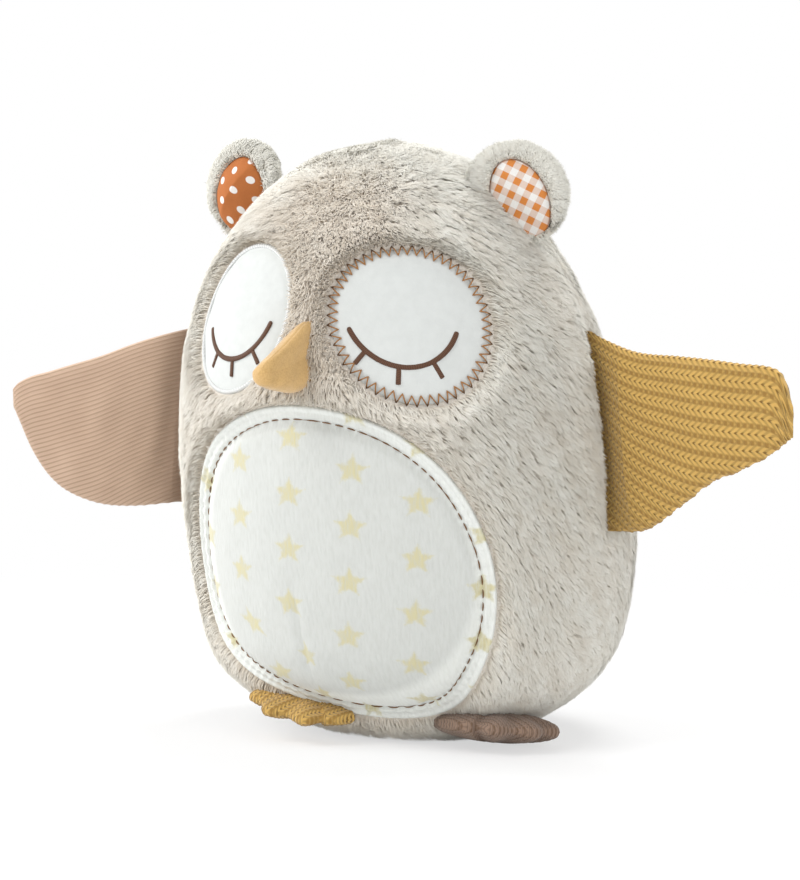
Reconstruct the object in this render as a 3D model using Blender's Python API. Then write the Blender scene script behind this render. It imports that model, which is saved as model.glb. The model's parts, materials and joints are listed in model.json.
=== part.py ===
"""Sitting plush owl: fur body panels over a stuffed core, sewn belly and eye patches, a stuffed beak,
lined ears, padded knit wings and knit feet. Metres, +Z up, the face looks along -Y and the origin is
the middle of the flat base. Left and right are the owl's own, so its left side is at +X."""

import math

import bmesh
import bpy
from mathutils import Matrix, Vector

# Body form
BODY_HEIGHT = 0.276
BODY_RADIUS = 0.105
PANEL_THICKNESS = 0.0075
PATCH_DEPTH = 0.0058
SEAM_GAP = 0.0003
CORE_CLEARANCE = 0.0006
BASE_SEAM_HEIGHT = 0.0035
CUT_OVERRUN = 0.012

# Pellet bag in the base
BAG_RADIUS = 0.048
BAG_HEIGHT = 0.022

# Belly patch
BELLY_LEVEL_SHARE = 0.3025
BELLY_HALF_WIDTH = 0.0825
BELLY_HALF_HEIGHT = 0.0750
BELLY_THICKNESS = 0.0030
BELLY_RIM = 0.0065
BELLY_SAG = 0.0135
BELLY_SAG_PLACE = -66.0
BELLY_SAG_SPREAD = 36.0
THREAD_WIDTH = 0.0011
THREAD_THICKNESS = 0.0006

# Eyes
EYE_TURN = 30.0
EYE_LEVEL_SHARE = 0.7054
EYE_RADIUS = 0.0345
EYE_THICKNESS = 0.0014
ZIGZAG_WIDTH = 0.0032
SATIN_WIDTH = 0.0020
LID_RADIUS = 0.0250
LID_SHIFT = -0.0022
LID_DROP = 0.0190
LID_STROKE = 0.0025
LASH_LENGTH = 0.0068
LASH_WIDTH = 0.0015
EMBROIDERY_THICKNESS = 0.0007

# Beak
BEAK_HEIGHT = 0.0315
BEAK_WIDTH = 0.0175
BEAK_REACH = 0.0330
BEAK_LEVEL_SHARE = 0.650
BEAK_SIDE = -0.0050
BEAK_ROOT_INSET = 0.0060
BEAK_YAW = -5.0

# Ears
EAR_SPAN_SHARE = 0.657
EAR_LEVEL_SHARE = 0.9167
EAR_FORWARD_SHARE = 0.352
EAR_WIDTH = 0.0420
EAR_HEIGHT = 0.0400
EAR_THICKNESS = 0.0170
EAR_LEAN = 47.0
EAR_FACING = 20.0
LINING_WIDTH = 0.0360
LINING_HEIGHT = 0.0240
LINING_TILT = -20.0
LINING_DROP = 0.0020
LINING_INSET = 0.0022
LINING_THICKNESS = 0.0010
LINING_ROOT = 0.0060

# Sewn roots of the ears, the wings and the feet
ROOT_THICKNESS = 0.0017
ROOT_GAP = 0.0001
ROOT_CLEARANCE = 0.0012
FLARE_LENGTH = 0.0130

# Wings
WING_LENGTH = 0.0965
WING_ROOT_HEIGHT = 0.0910
WING_LEVEL_SHARE = 0.536
WING_THICKNESS = 0.0150
WING_FABRIC = 0.0020
WING_LEAN_SHARE = 0.09
WING_TURN = 88.0
LEFT_WING_SWEEP = 80.0
RIGHT_WING_SWEEP = 71.0

# Feet
FOOT_WIDTH = 0.0590
FOOT_LENGTH = 0.0560
FOOT_THICKNESS = 0.0165
LEFT_FOOT_TURN = 64.0
RIGHT_FOOT_TURN = -17.5
LEFT_FOOT_REACH_SHARE = 0.875
RIGHT_FOOT_REACH_SHARE = 0.829
LEFT_FOOT_HEIGHT = 0.0125
RIGHT_FOOT_HEIGHT = 0.0160
LEFT_FOOT_PITCH = -1.0
RIGHT_FOOT_PITCH = 7.0
LEFT_FOOT_ROLL = 7.0
RIGHT_FOOT_ROLL = 9.0
LEFT_FOOT = (LEFT_FOOT_TURN, LEFT_FOOT_REACH_SHARE, LEFT_FOOT_HEIGHT, LEFT_FOOT_PITCH, LEFT_FOOT_ROLL)
RIGHT_FOOT = (
    RIGHT_FOOT_TURN,
    RIGHT_FOOT_REACH_SHARE,
    RIGHT_FOOT_HEIGHT,
    RIGHT_FOOT_PITCH,
    RIGHT_FOOT_ROLL,
)

# Rows from base to crown: height over BODY_HEIGHT, then radius, backward shift and shift to the
# owl's left over BODY_RADIUS. The first lies just under the table, so the form is cut flat there.
body_profile_shares = (
    (-0.0018, 0.000, 0.030, 0.045),
    (-0.0018, 0.220, 0.030, 0.045),
    (0.0013, 0.345, 0.035, 0.045),
    (0.0127, 0.440, 0.040, 0.045),
    (0.0417, 0.585, 0.050, 0.038),
    (0.0888, 0.785, 0.060, 0.010),
    (0.1377, 0.890, 0.078, 0.000),
    (0.2000, 0.948, 0.090, 0.000),
    (0.3007, 0.991, 0.072, 0.000),
    (0.3949, 1.000, 0.025, 0.000),
    (0.4710, 0.993, -0.020, 0.000),
    (0.5417, 0.974, -0.065, 0.000),
    (0.6134, 0.943, -0.115, 0.000),
    (0.6920, 0.889, -0.165, 0.000),
    (0.7667, 0.808, -0.205, 0.000),
    (0.8333, 0.705, -0.228, 0.000),
    (0.9138, 0.524, -0.236, 0.000),
    (0.9721, 0.305, -0.222, 0.000),
    (1.0000, 0.000, -0.215, 0.000),
)

# Where the front panel meets the back: height over BODY_HEIGHT, and that turn over a right angle.
side_seam_shares = ((0.0, 0.94), (0.38, 0.94), (0.71, 1.01), (0.92, 0.86), (1.0, 0.84))

# Wing outlines: distance out over WING_LENGTH, then the top and bottom edge above the root's middle
# over WING_ROOT_HEIGHT.
left_wing_shares = (
    (0.00, 0.506, -0.495),
    (0.21, 0.418, -0.478),
    (0.43, 0.401, -0.335),
    (0.58, 0.390, -0.225),
    (0.74, 0.374, -0.154),
    (0.88, 0.363, -0.077),
    (0.95, 0.319, -0.022),
    (1.00, 0.165, 0.022),
)
right_wing_shares = (
    (0.00, 0.500, -0.458),
    (0.17, 0.457, -0.478),
    (0.36, 0.391, -0.500),
    (0.54, 0.313, -0.495),
    (0.70, 0.258, -0.445),
    (0.81, 0.220, -0.363),
    (0.90, 0.192, -0.225),
    (0.97, 0.154, -0.050),
    (1.00, 0.116, 0.022),
)

# The beak from its root to its tip: distance forward over BEAK_REACH, width over BEAK_WIDTH, then
# height and drop of the middle over BEAK_HEIGHT.
beak_shares = (
    (0.00, 0.98, 1.00, 0.000),
    (0.22, 1.00, 1.00, 0.010),
    (0.45, 0.92, 0.82, 0.090),
    (0.66, 0.80, 0.63, 0.160),
    (0.83, 0.64, 0.46, 0.210),
    (0.94, 0.44, 0.31, 0.235),
    (1.00, 0.00, 0.00, 0.245),
)

PROFILE_STEPS = 12
BODY_COLUMNS = 32
BODY_ROWS = 15
BASE_ROWS = 4
PATCH_SQUARENESS = 2.2
BEAK_SQUARENESS = 2.2
BEAK_TAPER_SHARE = 0.28
TOE_SHARE = 0.08
TOE_WAVES = 9
BATTING_FILL_SHARE = 0.74
LASH_PLACE_SHARES = (0.20, 0.45, 0.70)


def curve_through(rows, steps):
    """A smooth line through the rows, with this many steps between one row and the next."""
    line = []
    for index in range(len(rows) - 1):
        before = Vector(rows[max(index - 1, 0)])
        start = Vector(rows[index])
        end = Vector(rows[index + 1])
        after = Vector(rows[min(index + 2, len(rows) - 1)])
        for step in range(steps):
            t = step / steps
            leave = (end - before) / 2
            arrive = (after - start) / 2
            line.append(
                start * (2 * t**3 - 3 * t**2 + 1)
                + leave * (t**3 - 2 * t**2 + t)
                + end * (3 * t**2 - 2 * t**3)
                + arrive * (t**3 - t**2)
            )
    line.append(Vector(rows[-1]))
    return line


def look_up(rows, x):
    """The values beside x in rows that start with a rising x, mixed between the two nearest."""
    for low, high in zip(rows, rows[1:]):
        if x <= high[0]:
            break
    mix = min(max((x - low[0]) / (high[0] - low[0]), 0), 1)
    return [a + (b - a) * mix for a, b in zip(low[1:], high[1:])]


def body_profile():
    """Rows of length along the outline from the base's middle, radius, height and both shifts."""
    rows = []
    length = 0
    for height, radius, back, side in curve_through(body_profile_shares, PROFILE_STEPS):
        point = Vector((radius * BODY_RADIUS, height * BODY_HEIGHT))
        if rows:
            length += (point - Vector(rows[-1][1:3])).length
        rows.append((length, point.x, point.y, back * BODY_RADIUS, side * BODY_RADIUS))
    return rows


PROFILE = body_profile()
PROFILE_LENGTH = PROFILE[-1][0]


def outline_at(length):
    """Radius, height and both shifts at a length, which may run on past either pole."""
    sign = 1
    if length > PROFILE_LENGTH:
        length = 2 * PROFILE_LENGTH - length
        sign = -1
    if length < 0:
        length = -length
        sign = -1
    radius, height, back, side = look_up(PROFILE, length)
    return sign * radius, height, back, side


def length_at(height):
    """How far along the outline the body reaches this height."""
    return look_up([(row[2], row[0]) for row in PROFILE[PROFILE_STEPS:]], height)[0]


def body_point(turn, length, inset=0):
    """A point on the body, from its turn about +Z (0 is the face, +90 the owl's left) and its place
    along the outline, moved inwards by inset."""
    step = PROFILE_LENGTH / BODY_ROWS / PROFILE_STEPS
    radius, height, back, side = outline_at(length)
    low = outline_at(length - step)
    high = outline_at(length + step)
    along = Vector((high[0] - low[0], high[1] - low[1])).normalized()
    radius -= inset * along.y
    height += inset * along.x
    angle = math.radians(turn)
    x = side + radius * math.sin(angle)
    y = back - radius * math.cos(angle)
    return Vector((x, y, max(height, 0)))


def seam_turn(length):
    """The turn in degrees at which the front panel ends."""
    height = look_up(PROFILE, length)[1]
    return 90 * look_up(side_seam_shares, height / BODY_HEIGHT)[0]


def column_turn(column, length):
    """The turn of a column of the body's mesh: half the columns cross the front panel."""
    half = BODY_COLUMNS // 2
    seam = seam_turn(length)
    if column <= half:
        return seam * (2 * column / half - 1)
    return seam + (360 - 2 * seam) * (column - half) / half


def row_length(row):
    """The length of a row of the body's mesh: the first rows cross the base panel."""
    start = length_at(BASE_SEAM_HEIGHT)
    if row <= BASE_ROWS:
        return start * row / BASE_ROWS
    return start + (PROFILE_LENGTH - start) * (row - BASE_ROWS) / BODY_ROWS


def patch_point(turn, length, across, up, inset):
    """A point on the body, from arc distances across and up from a patch's centre."""
    place = length + up
    radius = look_up(PROFILE, place)[0]
    return body_point(turn + math.degrees(across / radius), place, inset)


def surface_along(start, direction):
    """The first point outside the body on the way from a point inside it."""
    point = start.copy()
    while True:
        radius, _, back, side = outline_at(length_at(point.z))
        if math.hypot(point.x - side, point.y - back) > radius:
            return point
        point += direction * SEAM_GAP


def flare(beyond, thickness):
    """A sewn piece's thickness as a share of its full one, at a distance beyond its root."""
    grown = min(max((beyond - ROOT_CLEARANCE) / FLARE_LENGTH, 0), 1)
    thin = ROOT_THICKNESS / thickness
    return thin + (1 - thin) * grown


def superellipse(angle, squareness):
    """A point on a rounded unit outline."""
    x = math.cos(angle)
    y = math.sin(angle)
    power = 2 / squareness
    return math.copysign(abs(x) ** power, x), math.copysign(abs(y) ** power, y)


def material(name, color, roughness):
    """A fabric's Principled material."""
    made = bpy.data.materials.new(name)
    made.use_nodes = True
    shader = made.node_tree.nodes["Principled BSDF"]
    shader.inputs["Base Color"].default_value = (*color, 1)
    shader.inputs["Roughness"].default_value = roughness
    shader.inputs["Metallic"].default_value = 0
    return made


def keep(bm, name, cloth=None, cutter=False):
    """Makes an object of a bmesh, in the owl's collection or among the cutters."""
    bmesh.ops.recalc_face_normals(bm, faces=bm.faces)
    mesh = bpy.data.meshes.new(name)
    bm.to_mesh(mesh)
    bm.free()
    mesh.shade_smooth()
    obj = bpy.data.objects.new(name, mesh)
    if cutter:
        obj.hide_render = True
        obj.display_type = "WIRE"
        CUTTERS.objects.link(obj)
    else:
        mesh.set_sharp_from_angle(angle=math.radians(50))
        mesh.materials.append(cloth)
        PARTS.objects.link(obj)
    return obj


def unit_grid(columns, rows):
    """A bmesh grid over the unit square."""
    bm = bmesh.new()
    bmesh.ops.create_grid(bm, x_segments=columns, y_segments=rows, size=1 / 2)
    bmesh.ops.translate(bm, verts=bm.verts, vec=(1 / 2, 1 / 2, 0))
    return bm


def merge(bm):
    """Joins the points that a mapping put together, such as those at a pole."""
    bmesh.ops.remove_doubles(bm, verts=bm.verts, dist=SEAM_GAP / 30)


def slab(name, columns, rows, place, cloth=None, cutter=False):
    """A solid between two surfaces: place(u, v, side) gives the outer one at side 0, the inner at 1."""
    bm = unit_grid(columns, rows)
    outer = list(bm.verts)
    made = bmesh.ops.extrude_face_region(bm, geom=list(bm.faces), use_keep_orig=True)
    inner = [item for item in made["geom"] if isinstance(item, bmesh.types.BMVert)]
    for side, points in enumerate((outer, inner)):
        for point in points:
            point.co = place(point.co.x, point.co.y, side)
    merge(bm)
    return keep(bm, name, cloth, cutter)


def round_slab(name, columns, rows, place, cloth=None, cutter=False):
    """A slab whose columns go all the way round, so that u of 0 and of 1 are the same line."""
    bm = unit_grid(columns, rows)
    flat = {point: point.co.copy() for point in bm.verts}
    for point, at in flat.items():
        point.co = place(at.x, at.y, 0)
    merge(bm)
    left = {point: flat[point] for point in bm.verts}
    made = bmesh.ops.extrude_face_region(bm, geom=list(bm.faces), use_keep_orig=True)
    inner = [item for item in made["geom"] if isinstance(item, bmesh.types.BMVert)]
    nearest = sorted(left.items(), key=lambda pair: tuple(pair[0].co))
    twins = sorted(inner, key=lambda point: tuple(point.co))
    for (_, at), point in zip(nearest, twins):
        point.co = place(at.x, at.y, 1)
    return keep(bm, name, cloth, cutter)


def body_form(name, inset, cloth=None, cutter=False):
    """The whole closed body, moved inwards by inset."""
    rows = BASE_ROWS + BODY_ROWS
    bm = unit_grid(BODY_COLUMNS, rows)
    for point in bm.verts:
        length = row_length(round(point.co.y * rows))
        column = round(point.co.x * BODY_COLUMNS)
        point.co = body_point(column_turn(column, length), length, inset)
    merge(bm)
    return keep(bm, name, cloth, cutter)


def cut(obj, cutter, operation="DIFFERENCE"):
    """Cuts an object with another."""
    modifier = obj.modifiers.new(cutter.name, "BOOLEAN")
    modifier.operation = operation
    modifier.object = cutter
    return obj


def block_cutter(name, frame, reach):
    """A cube that reaches this far from its frame's middle to each side."""
    bm = bmesh.new()
    bmesh.ops.create_cube(bm, size=2 * reach)
    bmesh.ops.transform(bm, matrix=frame, verts=bm.verts)
    return keep(bm, name, None, True)


def hinge(name, at, axis):
    """An empty on a joint's axis, which its pieces are parented to."""
    empty = bpy.data.objects.new(name, None)
    empty.matrix_world = Matrix.Translation(at) @ axis.to_track_quat("Z", "Y").to_matrix().to_4x4()
    empty.empty_display_size = EAR_WIDTH / 2
    PARTS.objects.link(empty)
    print(name, [round(v, 5) for v in at], [round(v, 4) for v in axis.normalized()])
    return empty


def carry(empty, *pieces):
    """Parents pieces to a joint's empty, and leaves them where they are."""
    for piece in pieces:
        piece.parent = empty
        piece.matrix_parent_inverse = empty.matrix_world.inverted()


def make_panels():
    """The fur panels: one front, two back, and the round base that they are sewn to."""
    fur = material("oatmeal_fur", (0.56, 0.51, 0.45), 0.95)
    half = BODY_COLUMNS // 2

    def panel(name, first, last, move):
        def place(u, v, side):
            length = row_length(BASE_ROWS + BODY_ROWS * v)
            column = first + (last - first) * u
            turn = column_turn(column, length)
            return body_point(turn, length, PANEL_THICKNESS * side) + Vector(move) * SEAM_GAP / 2

        return slab(name, last - first, BODY_ROWS, place, fur)

    front = panel("front_panel", 0, half, (0, -1, 0))
    panel("back_panel_left", half, half + half // 2, (1, 1, 0))
    panel("back_panel_right", half + half // 2, BODY_COLUMNS, (-1, 1, 0))

    def base_place(u, v, side):
        length = row_length(BASE_ROWS * v) - SEAM_GAP * v
        return body_point(column_turn(BODY_COLUMNS * u, length), length, PANEL_THICKNESS * side)

    round_slab("base_panel", BODY_COLUMNS, BASE_ROWS, base_place, fur)
    return front


def make_core():
    """The stuffing, with the pellet bag let into its underside."""
    batting = material("white_batting", (0.86, 0.86, 0.84), 0.9)
    calico = material("calico", (0.78, 0.72, 0.62), 0.9)
    core = body_form("body_stuffing", PANEL_THICKNESS + CORE_CLEARANCE, batting)

    def bag(name, grow, down, cloth, cutter=False):
        bm = bmesh.new()
        bmesh.ops.create_uvsphere(bm, u_segments=20, v_segments=10, radius=1)
        floor = PANEL_THICKNESS + CORE_CLEARANCE
        for point in bm.verts:
            x, y, z = point.co
            height = (z + 1) / 2 * (BAG_HEIGHT + grow)
            if cutter and z < 0:
                height = -down
            point.co = (x * (BAG_RADIUS + grow), y * (BAG_RADIUS + grow), floor + height)
        return keep(bm, name, cloth, cutter)

    bag("pellet_bag", 0, 0, calico)
    cut(core, bag("pellet_bag_cutter", CORE_CLEARANCE, CUT_OVERRUN, None, True))


def make_belly(front):
    """The pale belly patch with its plump folded rim and the line of top stitching."""
    minky = material("cream_minky", (0.80, 0.79, 0.75), 0.9)
    thread = material("brown_thread", (0.10, 0.045, 0.02), 0.7)
    middle = length_at(BELLY_LEVEL_SHARE * BODY_HEIGHT)

    def outline(u, shrink):
        """Across and up on the patch's edge, which is fuller towards its lower left."""
        x, y = superellipse(math.tau * u, PATCH_SQUARENESS)
        off = (math.degrees(math.atan2(y, x)) - BELLY_SAG_PLACE) / BELLY_SAG_SPREAD
        up = y * (BELLY_HALF_HEIGHT - shrink) - BELLY_SAG * math.exp(-(off**2))
        return x * (BELLY_HALF_WIDTH - shrink), up

    def oval(shrink, outer, inner):
        def place(u, v, side):
            across, up = outline(u, shrink)
            return patch_point(0, middle, across * v, up * v, inner if side else outer)

        return place

    top = PATCH_DEPTH - BELLY_THICKNESS
    round_slab("belly_patch", 36, 5, oval(0, top, PATCH_DEPTH), minky)
    pocket = oval(-2 * SEAM_GAP, -CUT_OVERRUN, PATCH_DEPTH + 2 * SEAM_GAP)
    cut(front, round_slab("belly_pocket_cutter", 36, 5, pocket, None, True))

    def stitch(u, v, side):
        across, up = outline(u, BELLY_RIM + THREAD_WIDTH * (1 - v))
        inset = top - SEAM_GAP - (0 if side else THREAD_THICKNESS)
        return patch_point(0, middle, across, up, inset)

    round_slab("belly_topstitch", 56, 1, stitch, thread)


def make_eye(front, side_name, sign, edging_name, edging_width, edging_cloth):
    """One closed eye: a white disc, its sewn edging and the embroidered lid with three lashes."""
    felt = bpy.data.materials.get("white_felt") or material("white_felt", (0.83, 0.83, 0.81), 0.85)
    thread = bpy.data.materials["brown_thread"]
    turn = sign * EYE_TURN
    middle = length_at(EYE_LEVEL_SHARE * BODY_HEIGHT)
    top = PATCH_DEPTH - EYE_THICKNESS

    def ring(inner_radius, outer_radius, outer, inner):
        def place(u, v, side):
            radius = inner_radius + (outer_radius - inner_radius) * v
            across = radius * math.cos(math.tau * u)
            up = radius * math.sin(math.tau * u)
            return patch_point(turn, middle, across, up, inner if side else outer)

        return place

    round_slab("eye_patch_" + side_name, 32, 3, ring(0, EYE_RADIUS, top, PATCH_DEPTH), felt)
    inner_edge = EYE_RADIUS + SEAM_GAP
    outer_edge = inner_edge + edging_width
    edging = ring(inner_edge, outer_edge, top, PATCH_DEPTH)
    round_slab(edging_name, 32, 1, edging, edging_cloth)
    pocket = ring(0, outer_edge + 2 * SEAM_GAP, -CUT_OVERRUN, PATCH_DEPTH + 2 * SEAM_GAP)
    cut(front, round_slab("eye_pocket_cutter_" + side_name, 32, 2, pocket, None, True))

    columns = 40
    lash_share = LASH_WIDTH / (LID_RADIUS * math.pi * 0.78)

    def lid(u, v, side):
        angle = math.pi * (1.11 + 0.78 * u)
        reach = LID_STROKE * v
        if v > 0 and min(abs(u - place) for place in LASH_PLACE_SHARES) < lash_share:
            reach += LASH_LENGTH
        radius = LID_RADIUS + reach
        across = sign * LID_SHIFT + radius * math.cos(angle)
        up = LID_RADIUS - LID_DROP + radius * math.sin(angle)
        inset = top - SEAM_GAP - (0 if side else EMBROIDERY_THICKNESS)
        return patch_point(turn, middle, across, up, inset)

    slab("eye_lid_" + side_name, columns, 1, lid, thread)


def make_beak(body_cutter):
    """The stuffed beak, sewn to the face, drooping towards its tip."""
    velour = material("tan_velour", (0.60, 0.40, 0.19), 0.85)
    root = body_point(0, length_at(BEAK_LEVEL_SHARE * BODY_HEIGHT), BEAK_ROOT_INSET) + Vector((BEAK_SIDE, 0, 0))
    frame = Matrix.Translation(root) @ Matrix.Rotation(math.radians(BEAK_YAW), 4, "Z")
    outline = curve_through(beak_shares, PROFILE_STEPS)
    rows = 9
    bm = unit_grid(16, rows + 1)
    for point in bm.verts:
        row = point.co.y * (rows + 1)
        width, height, drop = look_up(outline, math.sin(max(row - 1, 0) / rows * math.pi / 2))
        if row < 1 / 2:
            width = height = 0
        forward = math.sin(max(row - 1, 0) / rows * math.pi / 2) * BEAK_REACH
        x, z = superellipse(math.tau * point.co.x, BEAK_SQUARENESS)
        across = (x * (1 - BEAK_TAPER_SHARE * z) + BEAK_TAPER_SHARE * z) * width * BEAK_WIDTH / 2
        up = (z * height / 2 - drop) * BEAK_HEIGHT
        point.co = frame @ Vector((across, -forward, up))
    merge(bm)
    cut(keep(bm, "beak", velour), body_cutter)


def make_ear(side_name, sign, lining_cloth):
    """One round fur ear with a printed lining let into its front, hinged along its base seam."""
    fur = bpy.data.materials["oatmeal_fur"]
    across = sign * EAR_SPAN_SHARE * BODY_RADIUS
    centre = Vector((across, -EAR_FORWARD_SHARE * BODY_RADIUS, EAR_LEVEL_SHARE * BODY_HEIGHT))
    lean = Matrix.Rotation(math.radians(sign * EAR_LEAN), 4, "Y")
    facing = Matrix.Rotation(math.radians(sign * EAR_FACING), 4, "Z")
    frame = Matrix.Translation(centre) @ facing @ lean

    bm = bmesh.new()
    bmesh.ops.create_uvsphere(bm, u_segments=18, v_segments=12, radius=1 / 2)
    seat = surface_along(frame @ Vector((0, 0, -EAR_HEIGHT / 2)), frame.to_3x3() @ Vector((0, 0, 1)))
    seat_level = (frame.inverted() @ seat).z
    for point in bm.verts:
        x, y, z = point.co
        up = z * EAR_HEIGHT
        depth = y * EAR_THICKNESS * flare(up - seat_level, EAR_THICKNESS)
        point.co = (x * EAR_WIDTH, depth, up)
    root_level = Vector((0, 0, seat_level + ROOT_GAP))
    whole = bm.verts[:] + bm.edges[:] + bm.faces[:]
    halved = bmesh.ops.bisect_plane(
        bm, geom=whole, plane_co=root_level, plane_no=(0, 0, -1), clear_outer=True
    )
    edges = [item for item in halved["geom_cut"] if isinstance(item, bmesh.types.BMEdge)]
    bmesh.ops.holes_fill(bm, edges=edges)
    bmesh.ops.transform(bm, matrix=frame, verts=bm.verts)
    ear = keep(bm, "ear_fur_" + side_name, fur)

    tilt = math.radians(sign * LINING_TILT)

    def disc(grow, outer, inner):
        def place(u, v, side):
            along = math.cos(math.tau * u) * (LINING_WIDTH / 2 + grow) * v
            over = math.sin(math.tau * u) * (LINING_HEIGHT / 2 + grow) * v
            across = along * math.cos(tilt) - over * math.sin(tilt)
            up = along * math.sin(tilt) + over * math.cos(tilt) - LINING_DROP
            inside = 1 - (2 * across / EAR_WIDTH) ** 2 - (2 * up / EAR_HEIGHT) ** 2
            thickness = EAR_THICKNESS * flare(up - seat_level, EAR_THICKNESS)
            front = -thickness / 2 * math.sqrt(max(inside, 0))
            return frame @ Vector((across, front + (inner if side else outer), up))

        return place

    shown = disc(0, LINING_INSET - LINING_THICKNESS, LINING_INSET)
    lining = round_slab("ear_lining_" + side_name, 20, 3, shown, lining_cloth)
    pocket = disc(2 * SEAM_GAP, -CUT_OVERRUN, LINING_INSET + 2 * SEAM_GAP)
    pocket_cutter = round_slab("ear_pocket_cutter_" + side_name, 20, 3, pocket, None, True)
    for cut_piece, level in ((lining, LINING_ROOT), (pocket_cutter, LINING_ROOT - 2 * SEAM_GAP)):
        low_frame = frame @ Matrix.Translation((0, 0, seat_level + level - EAR_WIDTH))
        cut(cut_piece, block_cutter(cut_piece.name + "_root_cutter", low_frame, EAR_WIDTH))
    cut(ear, pocket_cutter)
    at = frame @ Vector((0, 0, seat_level + ROOT_CLEARANCE))
    carry(hinge("ear_hinge_" + side_name, at, frame.to_3x3() @ Vector((1, 0, 0))), ear, lining)


def make_wing(side_name, sign, sweep, outline_shares, cloth):
    """One padded wing: a front and a back knit face sewn along their edge, with batting between."""
    batting = bpy.data.materials["white_batting"]
    level = WING_LEVEL_SHARE * BODY_HEIGHT
    inside = body_point(sign * WING_TURN, length_at(level), WING_THICKNESS)
    angle = math.radians(sweep)
    out = Vector((sign * math.sin(angle), -math.cos(angle), 0))
    up = Vector((0, -WING_LEAN_SHARE, 1))
    front = Vector((-sign * math.cos(angle), -math.sin(angle), 0))
    low = surface_along(inside - up * WING_ROOT_HEIGHT / 2, out)
    high = surface_along(inside + up * WING_ROOT_HEIGHT / 2, out)
    seam = (high - low) / (high.z - low.z)
    surface = surface_along(inside, out)
    root = surface + out * ROOT_GAP
    outline = curve_through(outline_shares, PROFILE_STEPS)

    def swell(u, v):
        """Half the wing's thickness, thin at the root and along the seam, plump between them."""
        across = 1 - abs(2 * v - 1) ** 2.4
        plump = math.sqrt(max(across * (1 - u**5), 0))
        beyond = u * WING_LENGTH + ROOT_GAP
        full = (WING_THICKNESS * flare(beyond, WING_THICKNESS) - ROOT_THICKNESS) / 2
        return ROOT_THICKNESS / 2 + full * plump

    def at(u, v, forward):
        top, bottom = look_up(outline, u)
        rise = (bottom + (top - bottom) * v) * WING_ROOT_HEIGHT
        lean = seam.lerp(up, 1 - (1 - u) ** 2)
        return root + out * WING_LENGTH * u + lean * rise + front * forward

    def face(direction):
        def place(u, v, side):
            thick = swell(u, v)
            inner = max(thick - WING_FABRIC, SEAM_GAP / 2)
            return at(u, v, direction * (inner if side else thick))

        return place

    def pad(u, v, side):
        u = 0.17 + 0.69 * u
        v = 0.12 + 0.76 * v
        thick = (swell(u, v) - WING_FABRIC) * BATTING_FILL_SHARE
        return at(u, v, -thick if side else thick)

    pieces = [
        slab("wing_front_" + side_name, 10, 7, face(1), cloth),
        slab("wing_back_" + side_name, 10, 7, face(-1), cloth),
        slab("wing_batting_" + side_name, 7, 4, pad, batting),
    ]
    carry(hinge("wing_hinge_" + side_name, surface + out * ROOT_CLEARANCE, seam), *pieces)


def make_foot(side_name, turn, reach_share, height, pitch, roll, body_cutter, cloth):
    """One flat foot with three soft toes, an upper and a sole, sewn under the body's front edge."""
    angle = math.radians(turn)
    reach = reach_share * BODY_RADIUS
    toe = Vector((math.sin(angle) * reach, -math.cos(angle) * reach, height))
    frame = (
        Matrix.Translation(toe)
        @ Matrix.Rotation(angle, 4, "Z")
        @ Matrix.Rotation(math.radians(pitch), 4, "X")
        @ Matrix.Rotation(math.radians(roll), 4, "Y")
    )

    def half(sign):
        def place(u, v, side):
            around = math.tau * u
            toes = 1
            if math.cos(around) > 1 / 2:
                toes += TOE_SHARE * math.cos(TOE_WAVES * around)
            across = math.sin(around) * FOOT_WIDTH / 2 * v * toes
            along = (1 - math.cos(around) * v * toes) * FOOT_LENGTH / 2
            rise = SEAM_GAP / 2
            if not side:
                swell = math.sqrt(max(1 - v**2, 0))
                rise = (ROOT_THICKNESS + (FOOT_THICKNESS - ROOT_THICKNESS) * swell) / 2
            return frame @ Vector((across, along, sign * rise))

        return place

    heel = frame @ Vector((0, FOOT_LENGTH, -FOOT_THICKNESS / 2))
    seat = surface_along(heel, frame.to_3x3() @ Vector((0, -1, 0)))
    behind = Vector((0, (frame.inverted() @ seat).y + FOOT_WIDTH, 0))
    heel_frame = frame @ Matrix.Translation(behind)
    heel_cutter = block_cutter("heel_cutter_" + side_name, heel_frame, FOOT_WIDTH)
    pieces = []
    for piece_name, sign in (("foot_upper_", 1), ("foot_sole_", -1)):
        piece = round_slab(piece_name + side_name, 36, 4, half(sign), cloth)
        cut(piece, heel_cutter)
        pieces.append(cut(piece, body_cutter))
    carry(hinge("foot_hinge_" + side_name, seat, frame.to_3x3() @ Vector((1, 0, 0))), *pieces)


def make_owl():
    """Builds every piece of the owl."""
    body_cutter = body_form("body_cutter", -SEAM_GAP * 1.5, None, True)
    front = make_panels()
    make_core()
    make_belly(front)
    thread = material("zigzag_thread", (0.30, 0.13, 0.05), 0.7)
    satin = material("white_satin", (0.82, 0.82, 0.80), 0.5)
    make_eye(front, "left", 1, "eye_zigzag_left", ZIGZAG_WIDTH, thread)
    make_eye(front, "right", -1, "eye_satin_right", SATIN_WIDTH, satin)
    make_beak(body_cutter)
    make_ear("left", 1, material("orange_gingham", (0.80, 0.45, 0.26), 0.85))
    make_ear("right", -1, material("rust_polka_dot", (0.58, 0.20, 0.06), 0.85))
    mustard = material("mustard_knit", (0.56, 0.34, 0.08), 0.9)
    taupe = material("taupe_knit", (0.50, 0.36, 0.30), 0.9)
    make_wing("left", 1, LEFT_WING_SWEEP, left_wing_shares, mustard)
    make_wing("right", -1, RIGHT_WING_SWEEP, right_wing_shares, taupe)
    make_foot("left", *LEFT_FOOT, body_cutter, taupe)
    make_foot("right", *RIGHT_FOOT, body_cutter, mustard)


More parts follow.
